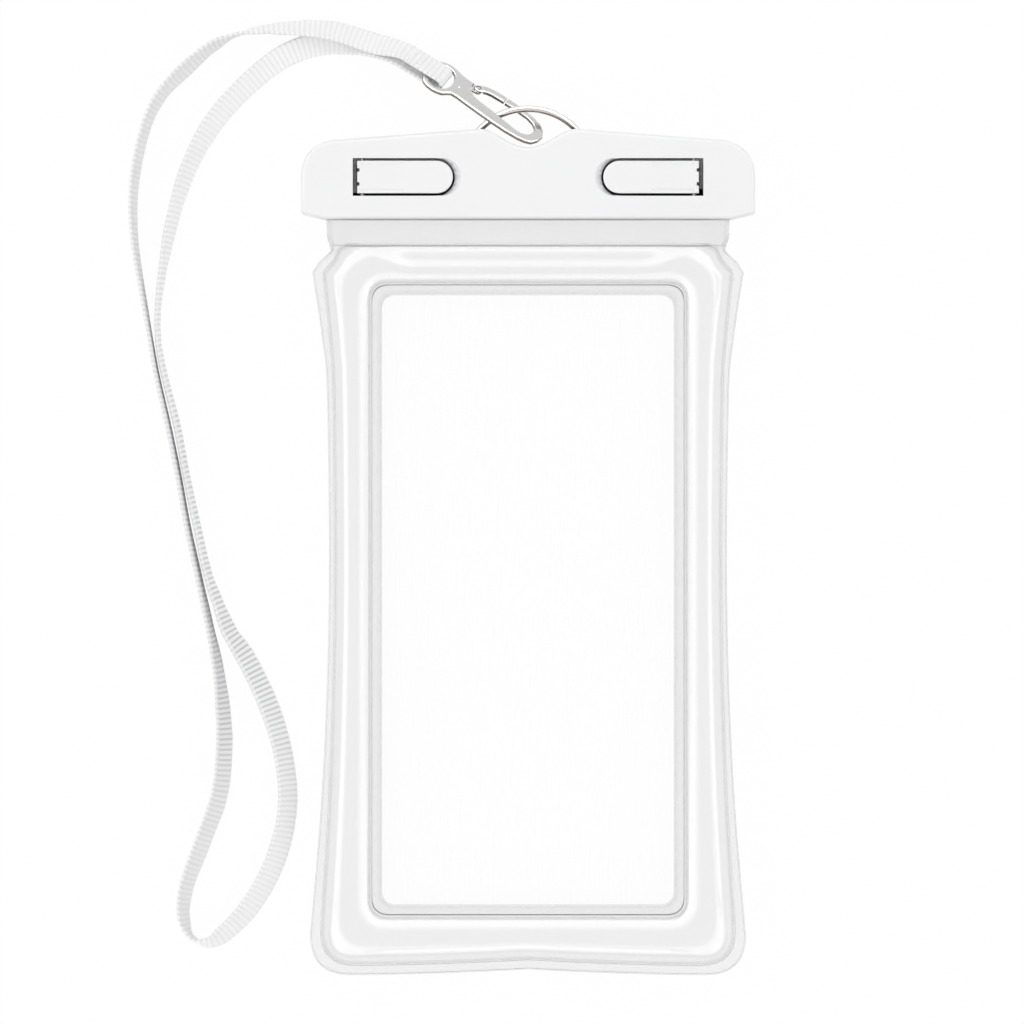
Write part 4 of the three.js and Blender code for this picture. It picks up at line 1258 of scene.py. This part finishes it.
    def cushion(self, face: Face) -> bpy.types.Object:
        """Builds one air cushion, crowned between its welds and puckered along them."""
        steps = np.linspace(0.0, 1.0, self.columns)
        shares = steps - self.crowding * np.sin(2 * math.pi * steps)
        within = self.contours.seal_half - np.abs(self.outer[:, 0])
        on_top = self.contours.at_mouth(self.outer) * smoothstep(within / 8.0)
        run = run_along(self.outer)
        turn = 2 * math.pi / run[-1]
        ripple = sum(np.sin(run * turn * n + phase) * size for n, phase, size in self.ripple_waves)
        upper = np.zeros((len(self.outer), len(shares), 3))
        lower = np.zeros_like(upper)
        edge = np.zeros(upper.shape[:2])
        pucker = np.zeros_like(edge)
        for column, share in enumerate(shares):
            plan = mixed(self.inner, self.outer, share)
            wave = math.sin(math.pi * min(max(share, 0.0), 1.0))
            rounded = self.softened(plan, self.corner_softness * wave) if wave > 0.01 else plan
            seat = self.fold(share) + self.film / 2 + self.fit
            lean = self.top_lean * on_top * smoothstep((share - 0.22) / 0.45)
            crown = wave**self.fullness * (1.0 - lean)
            weld = min(share, 1 - share)
            near = math.exp(-((weld / self.pucker_width) ** 2))
            skin = seat + self.fit + (MID_Z - 0.06 - seat - self.fit) * crown
            skin = skin - self.ripple * near * (ripple + 0.8) * crown
            upper[:, column] = self.raised(rounded, face, np.maximum(skin, seat + 0.12))
            lower[:, column] = self.raised(plan, face, seat)
            edge[:, column] = math.exp(-((weld / self.edge_width) ** 2))
            pucker[:, column] = near * (0.5 + 0.5 * ripple)
        name = f"{face.word}_air_cushion"
        piece = sheet_piece(name, upper, lower, True, {"edge": edge, "pucker": pucker})
        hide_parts(f"{face.word}_cushion")
        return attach(self.finishes.dress(piece, CushionFinish()), "pouch")

    def weld_lines(self) -> list[tuple[str, np.ndarray, np.ndarray | float, float]]:
        """The name, loop, distance from the mid-plane and radius of each weld's bead."""
        rim = self.contours.rim(self.fit - self.contours.neck)
        lift = self.film / 2 + 0.1
        beside = self.outer + self.outward(self.outer) * 0.4
        inside = rim - self.outward(rim) * 0.25
        return [
            ("inner_bead", self.contours.inner(0.3), self.open_half + 0.36, 0.14),
            ("outer_bead", beside, self.fold(1.0) + lift, 0.11),
            ("rim_bead", inside, self.edge_offset(rim) + lift, 0.11),
        ]

    def bead(self, face: Face, name: str, path: np.ndarray, radius: float) -> bpy.types.Object:
        """Builds the raised line of one weld.

        Args:
            face: The face it is on.
            name: Which weld.
            path: Its loop.
            radius: Its radius.

        Returns:
            The bead.
        """
        ahead = unit(np.roll(path, -1, axis=0) - np.roll(path, 1, axis=0))
        across = unit(np.cross(ahead, UP))
        rise = np.cross(across, ahead)
        section = oval(radius, radius, 8)
        piece = swept_piece(f"{face.word}_{name}", path, across, rise, section, True)
        smooth_by_angle(piece, 80.0)
        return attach(self.finishes.dress(piece, BeadFinish()), "pouch")

    def waist_fold(self, hand: Hand) -> bpy.types.Object:
        """Builds the small fold where the film turns out from the neck to the shoulder.

        Args:
            hand: The side that it is on.

        Returns:
            The fold.
        """
        plan = spline(list(self.fold_knots)) * np.array([hand.value, 1.0])
        path = self.raised(plan, Face.FRONT, self.rim_half + self.film / 2 + 0.2)
        ahead = unit(np.gradient(path, axis=0))
        across = np.cross(ahead, UP)
        rise = np.cross(across, ahead)
        swell = 0.25 + 0.75 * np.sin(np.linspace(0.0, math.pi, len(path)))[:, None]
        section = oval(0.55, 0.32, 12)
        name = f"{hand.word}_waist_fold"
        piece = swept_piece(name, path, across * swell, rise * swell, section, False)
        smooth_by_angle(piece, 80.0)
        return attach(self.finishes.dress(piece, CushionFinish()), "pouch")

    def build(self) -> list[bpy.types.Object]:
        """Builds every piece of the pouch."""
        pieces = self.border_film(Face.REAR, self.seal_depth)
        pieces += self.border_film(Face.FRONT, self.fit - self.contours.neck)
        pieces.append(self.front_neck())
        pieces += [self.waist_fold(hand) for hand in Hand]
        for face in Face:
            pieces.append(self.cushion(face))
            for name, plan, offset, radius in self.weld_lines():
                pieces.append(self.bead(face, name, self.raised(plan, face, offset), radius))
            self.finishes.dress(frame["nodes"][f"{face.word}_window"], PaneFinish())
        return pieces


@dataclass
class Clip:
    """The two bars, the flip levers and the seal."""

    finishes: Finishes
    bar_bevel: float = 0.2
    lever_bevel: float = 0.16

    def build(self) -> list[bpy.types.Object]:
        """Builds the clip's pieces from its solids, with fine bevels."""
        bodies = {
            "rear_bar": "pouch",
            "front_bar": "clip_front",
            "lever_left": "left_lever",
            "lever_right": "right_lever",
        }
        pieces = []
        for node, body in bodies.items():
            bevel = self.lever_bevel if node.startswith("lever") else self.bar_bevel
            piece = refined_copy(node, f"{node}_shell", bevel)
            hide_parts(node)
            pieces.append(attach(self.finishes.dress(piece, ShellFinish()), body))
        for node in ("rear_clamp_strip", "front_clamp_strip"):
            self.finishes.dress(frame["nodes"][node], StripFinish())
        self.finishes.dress(frame["nodes"]["mouth_gasket"], GasketFinish())
        for node in ("lever_pin_left", "lever_pin_right"):
            self.finishes.dress(frame["nodes"][node], SteelFinish())
        return pieces


@dataclass
class HookFrame:
    """The tilted plane in which the hook lies, in millimetres and degrees."""

    x: float = -23.0
    y: float = 37.4
    z: float = 6.0
    heading: float = -31.8
    pitch: float = 6.0
    roll: float = 42.0

    def __post_init__(self) -> None:
        """Works out the plane's axes: along the hook, across it and out of its face."""
        heading, pitch, roll = (math.radians(a) for a in (self.heading, self.pitch, self.roll))
        along = np.array([math.cos(heading), math.sin(heading), 0.0])
        across = np.array([-math.sin(heading), math.cos(heading), 0.0])
        self.u = along * math.cos(pitch) + UP * math.sin(pitch)
        lifted = UP * math.cos(pitch) - along * math.sin(pitch)
        self.v = across * math.cos(roll) - lifted * math.sin(roll)
        self.n = across * math.sin(roll) + lifted * math.cos(roll)
        self.centre = np.array([self.x, self.y, self.z])
        axes = np.column_stack([self.u, self.v, self.n])
        self.turn = Matrix([[*row] for row in axes]).to_4x4()

    def at(self, u: float, v: float, n: float) -> np.ndarray:
        """A point of the hook's plane, in millimetres."""
        return self.centre + self.u * u + self.v * v + self.n * n

    def placed(self, u: float, v: float, n: float) -> Matrix:
        """The matrix that lays a piece in the hook's plane at a point of it."""
        return Matrix.Translation(Vector(to_frame(self.at(u, v, n)))) @ self.turn


@dataclass
class Hardware:
    """The wire bail and the snap hook.

    Each row is a node, its body, its bevel in millimetres and its levels of subdivision.
    """

    finishes: Finishes
    hook: HookFrame
    rows: tuple[tuple[str, str, float, int], ...] = (
        ("strap_bail", "bail", 0.0, 2),
        ("snap_hook", "bail", 0.24, 0),
        ("hook_gate", "gate", 0.12, 0),
    )
    boss_radius: float = 0.32
    boss_spot: tuple[float, float, float] = (5.3, 0.3, 0.62)
    near_side: tuple[float, float, float] = (0.0, -0.82, 0.57)

    def build(self) -> list[bpy.types.Object]:
        """Builds the bright pieces."""
        pieces = []
        for node, body, bevel, levels in self.rows:
            piece = refined_copy(node, f"{node}_plated", bevel, levels)
            self.tarnish(piece, round_wire=levels > 0)
            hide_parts(node)
            pieces.append(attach(self.finishes.dress(piece, NickelFinish()), body))
        self.finishes.dress(frame["nodes"]["gate_rivet"], NickelFinish())
        pieces.append(self.boss())
        return pieces

    def tarnish(self, piece: bpy.types.Object, round_wire: bool) -> None:
        """Marks where dark shade and a dark reflection are painted: the side walls of a flat
        piece, or the near underside of a round wire.

        Args:
            piece: The bright piece.
            round_wire: Whether it is round wire, which gets the painted shade only on its near
                underside.
        """
        mesh = piece.data
        normals = np.zeros(len(mesh.polygons) * 3)
        mesh.polygons.foreach_get("normal", normals)
        normals = normals.reshape(-1, 3)
        # Paints shade by facing: faces that turn towards near_side, or away from the hook's face,
        # get the dark colour.
        if round_wire:
            values = smoothstep((normals @ np.array(self.near_side) - 0.6) / 0.35) * 0.8
        else:
            values = 0.75 * (1.0 - smoothstep((np.abs(normals @ self.hook.n) - 0.1) / 0.5))
        layer = mesh.attributes.new("tarnish", "FLOAT", "FACE")
        layer.data.foreach_set("value", values.astype(np.float32))

    def boss(self) -> bpy.types.Object:
        """Builds the small domed boss on the hook's shank."""
        flat = Matrix.Diagonal((1.0, 1.0, 0.5, 1.0))
        piece = ball(self.boss_radius * MM, 20, 10, self.hook.placed(*self.boss_spot) @ flat)
        piece.name = "hook_boss"
        smooth_by_angle(piece, 60.0)
        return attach(self.finishes.dress(piece, NickelFinish()), "bail")


@dataclass
class Strap:
    """The woven wrist strap: one long loop, its sewn fold and the stitching.

    Each point of the route is x, y, the bank of the ribbon's face from flat, and how far it is
    lifted. The stitch sizes are half of a stitch's length, width and height.
    """

    finishes: Finishes
    hook: HookFrame
    width: float = 6.4
    thickness: float = 1.0
    fold_u: float = -0.4
    fold_v: float = 0.2
    fold_radius: float = 1.55
    fold_length: float = 9.5
    overhang: float = 0.03
    lead: float = 2.0
    spacing: float = 0.7
    held_from: float = 1.5
    held_over: float = 7.0
    slack_x: float = -58.0
    stitch_box: tuple[float, float, float] = (-9.3, -6.3, 2.1)
    stitch_size: tuple[float, float, float] = (0.75, 0.26, 0.24)
    route: tuple[tuple[float, float, float, float], ...] = (
        (-41.3, 47.1, 28, 1.4), (-51.2, 50.2, 36, 0.6), (-57.9, 51, 46, 0.3),
        (-64.5, 51, 58, 0), (-71.2, 50.6, 72, 0), (-77.8, 49.3, 90, 0), (-84, 46.2, 110, 0),
        (-91.3, 40, 120, 0), (-97.4, 33.6, 112, 0), (-101.2, 26.2, 107, 0),
        (-104.2, 14, 106, 0), (-105.1, 3.9, 103, 0), (-104.5, -7, 99, 0),
        (-102.3, -20.8, 95, 0.2), (-100.3, -32.5, 93, 0.8), (-98.7, -41.3, 94, 1.2),
        (-95.7, -54.5, 95, 1.3), (-93, -67.8, 96, 1.3), (-90.6, -81.1, 97, 1.3),
        (-87.7, -94.4, 99, 1.2), (-84.8, -107.6, 102, 0.8), (-82.4, -119.6, 110, 0.2),
        (-81.1, -131, 122, 0), (-80.8, -139.5, 127, 0), (-82.1, -152.8, 129, 0),
        (-86.8, -166.1, 127, 0), (-91, -178, 120, 0), (-91.6, -185.6, 113, 0),
        (-89.4, -190.9, 94, 0), (-84.9, -192.2, 66, 0), (-80.6, -189.6, 46, 0),
        (-73.5, -182, 38, 0), (-67, -169.7, 38, 0), (-64, -156.1, 42, 0),
        (-65, -142.8, 44, 0), (-68.8, -129.6, 39, 0), (-75.1, -116.3, 42, 0),
        (-79.4, -109.5, 56, 0), (-82.8, -101, 70, 0), (-85.1, -94.4, 77, 0),
        (-88.1, -81.1, 80, 0), (-90.9, -67.8, 82, 0), (-93.4, -54.5, 82, 0),
        (-96.7, -41.3, 84, 0), (-98.3, -32.5, 86, 0), (-98.5, -24.5, 86, 0),
        (-97.4, -14.7, 80, 0), (-94.8, -0.8, 66, 0), (-90.3, 13.8, 54, 0),
        (-83.6, 26.1, 40, 0), (-74, 36.7, 33, 0), (-63.5, 44.4, 22, 0),
        (-53.2, 47.3, 6, 0), (-41.5, 46.3, -28, 0),
    )

    def section(self) -> np.ndarray:
        """The ribbon's section: thickness along the first axis, width along the second."""
        half, edge = self.thickness / 2, self.width / 2
        rounding = [(half * 0.55, -edge + 0.04), (half * 0.86, -edge + 0.22)]
        side = [(half, y) for y in np.linspace(-edge + half, edge - half, 7)]
        right = [*rounding, *side, *[(x, -y) for x, y in reversed(rounding)]]
        return np.array([*right, *[(-x, y) for x, y in reversed(right)]])

    def rest_height(self, bank: float) -> float:
        """How high the ribbon's middle lies when its edge touches the surface."""
        lean = math.radians(bank)
        return (
            self.width / 2 * abs(math.sin(lean)) + self.thickness / 2 * abs(math.cos(lean)) + 0.1
        )

    def knots(self) -> np.ndarray:
        """The points that the loop runs through, from ply to ply of the fold, with their banks."""
        start = self.fold_u - self.fold_length - self.overhang
        ply = [(start, self.fold_radius), (start - self.lead, self.fold_radius)]
        rows = [[*self.hook.at(u, self.fold_v, n), self.hook.roll] for u, n in ply]
        for x, y, bank, lift in self.route:
            rows.append([x, y, self.rest_height(bank) + lift, bank])
        rows += [[*self.hook.at(u, self.fold_v, -n), -self.hook.roll] for u, n in reversed(ply)]
        return np.array(rows, float)

    def line(self) -> tuple[np.ndarray, np.ndarray]:
        """Samples the route.

        Returns:
            The middle line at even spacing, and the ribbon's bank at each point.
        """
        knots = self.knots()
        points, banks = knots[:, :3], knots[:, 3]
        ends = np.concatenate(
            [[2 * points[0] - points[1]], points, [2 * points[-1] - points[-2]]]
        )
        shares = np.linspace(0.0, 1.0, CURVE_STEPS, endpoint=False)
        spans = []
        for i in range(1, len(points)):
            lean = banks[i - 1] + (banks[i] - banks[i - 1]) * smoothstep(shares)
            spans.append(np.column_stack([centripetal(ends[i - 1 : i + 3], shares), lean]))
        both = np.concatenate([*spans, knots[-1:]])
        reach = run_along(both[:, :3])
        wanted = np.linspace(0.0, reach[-1], int(reach[-1] / self.spacing) + 1)
        even = np.stack([np.interp(wanted, reach, both[:, axis]) for axis in range(4)], axis=1)
        return even[:, :3], even[:, 3]

    def ribbon(
        self, name: str, path: np.ndarray, normals: np.ndarray
    ) -> tuple[bpy.types.Object, float]:
        """Sweeps the ribbon along a path.

        Args:
            name: The piece's name.
            path: Its middle line in millimetres.
            normals: The way its face points at each point.

        Returns:
            The piece and its length in millimetres.
        """
        ahead = unit(np.gradient(path, axis=0))
        normals = unit(normals - ahead * np.sum(normals * ahead, axis=1, keepdims=True))
        section = self.section()
        piece = swept_piece(name, path, normals, np.cross(ahead, normals), section, False)
        reach = run_along(path)
        number_attribute(piece, "along", np.repeat(reach, len(section)))
        number_attribute(piece, "across", np.tile(section[:, 1], len(path)))
        # Marks the back face, which is painted greyer: partly a duller weave, partly painted shade
        # for the strap's underside.
        number_attribute(piece, "backing", np.tile(section[:, 0] < 0, len(path)))
        smooth_by_angle(piece, 50.0)
        self.finishes.dress(piece, RibbonFinish())
        return piece, float(reach[-1])

    def loop(self, extras: list[bpy.types.Object]) -> bpy.types.Object:
        """Args:
            extras: The pieces that hang on it. Not used.

        Returns:
            The loop.
        """
        path, banks = self.line()
        ahead = unit(np.gradient(path, axis=0))
        across = unit(np.cross(ahead, UP))
        lean = np.radians(banks)[:, None]
        normals = UP * np.cos(lean) + across * np.sin(lean)
        reach = run_along(path)
        from_end = np.minimum(reach, reach[-1] - reach)
        held = 1.0 - smoothstep((from_end - self.held_from) / self.held_over)
        normals += (self.hook.n - normals) * held[:, None]
        piece, length = self.ribbon("strap_ribbon", path, normals)
        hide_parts("strap")
        slack_end = [self.slack_x, path[0][1], path[0][2]]
        start, end = to_frame(np.array([slack_end, path[0]]))
        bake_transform(piece)
        line = to_frame(path)
        [tuple(p) for p in line[::6]] + [tuple(line[-1])]
        return piece

    def fold(self) -> bpy.types.Object:
        """Builds the sewn fold through the hook's eye."""
        u, v, radius = self.fold_u, self.fold_v, self.fold_radius
        plan = [(u - step, radius) for step in np.linspace(self.fold_length, 0.7, 13)]
        angles = np.linspace(0.05, math.pi - 0.05, 16)
        plan += [(u + radius * math.sin(a), radius * math.cos(a)) for a in angles]
        plan += [(u - step, -radius) for step in np.linspace(0.0, self.fold_length, 14)]
        path = np.array([self.hook.at(p, v, q) for p, q in plan])
        ahead = np.gradient(path, axis=0)
        normals = np.cross(self.hook.v, -ahead)
        normals *= np.sign(np.sum(normals[0] * self.hook.n))
        piece, _ = self.ribbon("strap_sewn_fold", path, normals)
        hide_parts("strap_fold")
        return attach(piece, "bail")

    def stitches(self) -> bpy.types.Object:
        """Builds the box of stitches that closes the fold."""
        low, high, half = self.stitch_box
        spots: list[tuple[float, float, float]] = []
        for sign in (-1, 1):
            spots += [(u, sign * half, 0.0) for u in np.arange(low + 0.7, high, 1.0)]
        for u in (low, high):
            spots += [(u, v, 90.0) for v in np.arange(-half + 0.5, half, 1.0)]
        level = self.fold_radius + self.thickness / 2 + 0.02
        flat = Matrix.Diagonal((*(size * MM for size in self.stitch_size), 1.0))
        threads = []
        for u, v, turn in spots:
            place = self.hook.placed(u + self.fold_u + 0.4, v + self.fold_v, level)
            turned = Matrix.Rotation(math.radians(turn), 4, "Z")
            threads.append(ball(0.5, 10, 6, place @ turned @ flat))
        bpy.ops.object.select_all(action="DESELECT")
        for thread in threads:
            thread.select_set(True)
        bpy.context.view_layer.objects.active = threads[0]
        bpy.ops.object.join()
        piece = bpy.context.object
        piece.name = "fold_stitching"
        smooth_by_angle(piece, 80.0)
        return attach(self.finishes.dress(piece, ThreadFinish()), "bail")


@dataclass
class Studio:
    """The camera, the soft lights, the pale world and the floor.

    Each box is a name, its x and y in metres, and its share of the lamp's power.
    """

    pixels: int = 1024
    scale: float = 0.2655
    lens: float = 250.0
    sensor: float = 36.0
    middle: tuple[float, float] = (-4.248, -77.65)
    lamp: float = 3.7
    lamp_height: float = 0.95
    world: float = 0.62
    boxes: tuple[tuple[str, float, float, float], ...] = (
        ("left", -1.15, 0.0, 1.2), ("right", 1.15, 0.0, 0.8),
        ("near", 0.0, -1.15, 1.0), ("far", 0.0, 1.15, 1.0),
    )

    def camera(self) -> None:
        """Puts the camera straight above the object, as in the photograph."""
        data = bpy.data.cameras.new("camera")
        data.lens = self.lens
        data.sensor_width = self.sensor
        data.clip_end = 50.0
        camera = link(bpy.data.objects.new("camera", data))
        distance = self.pixels * self.scale * self.lens / self.sensor
        camera.location = Vector(to_frame(np.array([*self.middle, distance + MID_Z])))
        bpy.context.scene.camera = camera

    def lamps(self) -> None:
        """Puts a long soft box low on each side."""
        for name, x, y, share in self.boxes:
            data = bpy.data.lights.new(f"soft_box_{name}", "AREA")
            data.shape = "RECTANGLE"
            data.size = 1.3
            data.size_y = 0.45
            data.energy = self.lamp * share
            lamp = link(bpy.data.objects.new(f"soft_box_{name}", data))
            lamp.location = (x, y, self.lamp_height)
            lamp.rotation_euler = (-lamp.location).to_track_quat("-Z", "Y").to_euler()
            lamp.visible_camera = False
            lamp.visible_glossy = False

    def sky(self) -> None:
        """Makes the world: white to the camera, a soft dome, and bright walls for reflections."""
        world = bpy.data.worlds.new("studio")
        bpy.context.scene.world = world
        graph = Graph(world)
        way = graph.node("ShaderNodeTexCoord").outputs["Generated"]
        axes = graph.node("ShaderNodeSeparateXYZ", None, {"Vector": way})
        east, north, up = (Value(graph, axes.outputs[axis]) for axis in "XYZ")
        rays = graph.node("ShaderNodeLightPath")
        seen = Value(graph, rays.outputs["Is Camera Ray"])
        mirrored = Value(graph, rays.outputs["Is Glossy Ray"])
        low_wall = (1.0 - (up - 0.1).size().step(0.15, 0.36)) * (0.1 - north).step(0.0, 0.5)
        band = up.step(0.12, 0.5) * (1.0 - up.step(0.8, 0.97))
        sides = east.step(0.15, 0.8) * 0.6 + (0.0 - north).step(0.15, 0.8) * 0.5
        lobe = band * ((north - east + 0.7).step(0.0, 1.2) + sides)
        panels = graph.node(
            "ShaderNodeMix", {"data_type": "RGBA", "blend_type": "ADD"},
            {0: lobe, 6: rgba(0.75, 0.75, 0.75), 7: rgba(2.5, 2.5, 2.5)},
        ).outputs[2]
        walls = graph.colour(low_wall, panels, rgba(0.1, 0.075, 0.06))
        lit = graph.colour(mirrored, rgba(*(3 * (self.world,))), walls)
        tone = graph.colour(seen, lit, rgba(1.0, 1.0, 1.0))
        dome = graph.node("ShaderNodeBackground", None, {"Color": tone, "Strength": 1.0})
        graph.node("ShaderNodeOutputWorld", None, {"Surface": dome.outputs[0]})

    def floor(self) -> None:
        """Lays a pale floor that keeps the object's shadow."""
        bpy.ops.object.select_all(action="DESELECT")
        bpy.ops.mesh.primitive_plane_add(size=12.0, location=(0, 0, -0.00005))
        floor = bpy.context.object
        floor.name = "floor"
        graph = Graph.material("pale_floor")
        paper = graph.node(
            "ShaderNodeBsdfPrincipled", None,
            {"Base Color": rgba(0.97, 0.97, 0.97), "Roughness": 0.9},
        )
        glow = graph.node("ShaderNodeEmission", None, {"Color": rgba(1, 1, 1), "Strength": 1.0})
        rays = graph.node("ShaderNodeLightPath")
        seen = Value(graph, rays.outputs["Is Camera Ray"])
        mirrored = Value(graph, rays.outputs["Is Glossy Ray"])
        shaders = {0: seen * 0.96 + mirrored * 0.3, 1: paper.outputs[0], 2: glow.outputs[0]}
        mix = graph.node("ShaderNodeMixShader", None, shaders)
        floor.data.materials.append(graph.output(mix.outputs[0]))

    def build(self) -> None:
        """Sets the whole studio up."""
        self.camera()
        self.lamps()
        self.sky()
        self.floor()
        bpy.context.scene.view_settings.view_transform = "Standard"


def main() -> None:
    """Builds the studio and every piece, and reports each one."""
    logging.basicConfig(level=logging.INFO, format="%(message)s")
    Studio().build()
    finishes = Finishes()
    hook = HookFrame()
    strap = Strap(finishes, hook)
    fold, stitches = strap.fold(), strap.stitches()
    hardware = Hardware(finishes, hook).build()
    on_strap: list[object] = [fold, stitches, *hardware[1:], "gate_rivet"]
    pieces = [strap.loop(on_strap), fold, stitches, *hardware]
    pieces += Clip(finishes).build()
    pieces += Pouch(finishes).build()
    for piece in pieces:
        LOG.info("%s: %d faces", piece.name, len(piece.data.polygons))


if __name__ == "__main__":
    main()
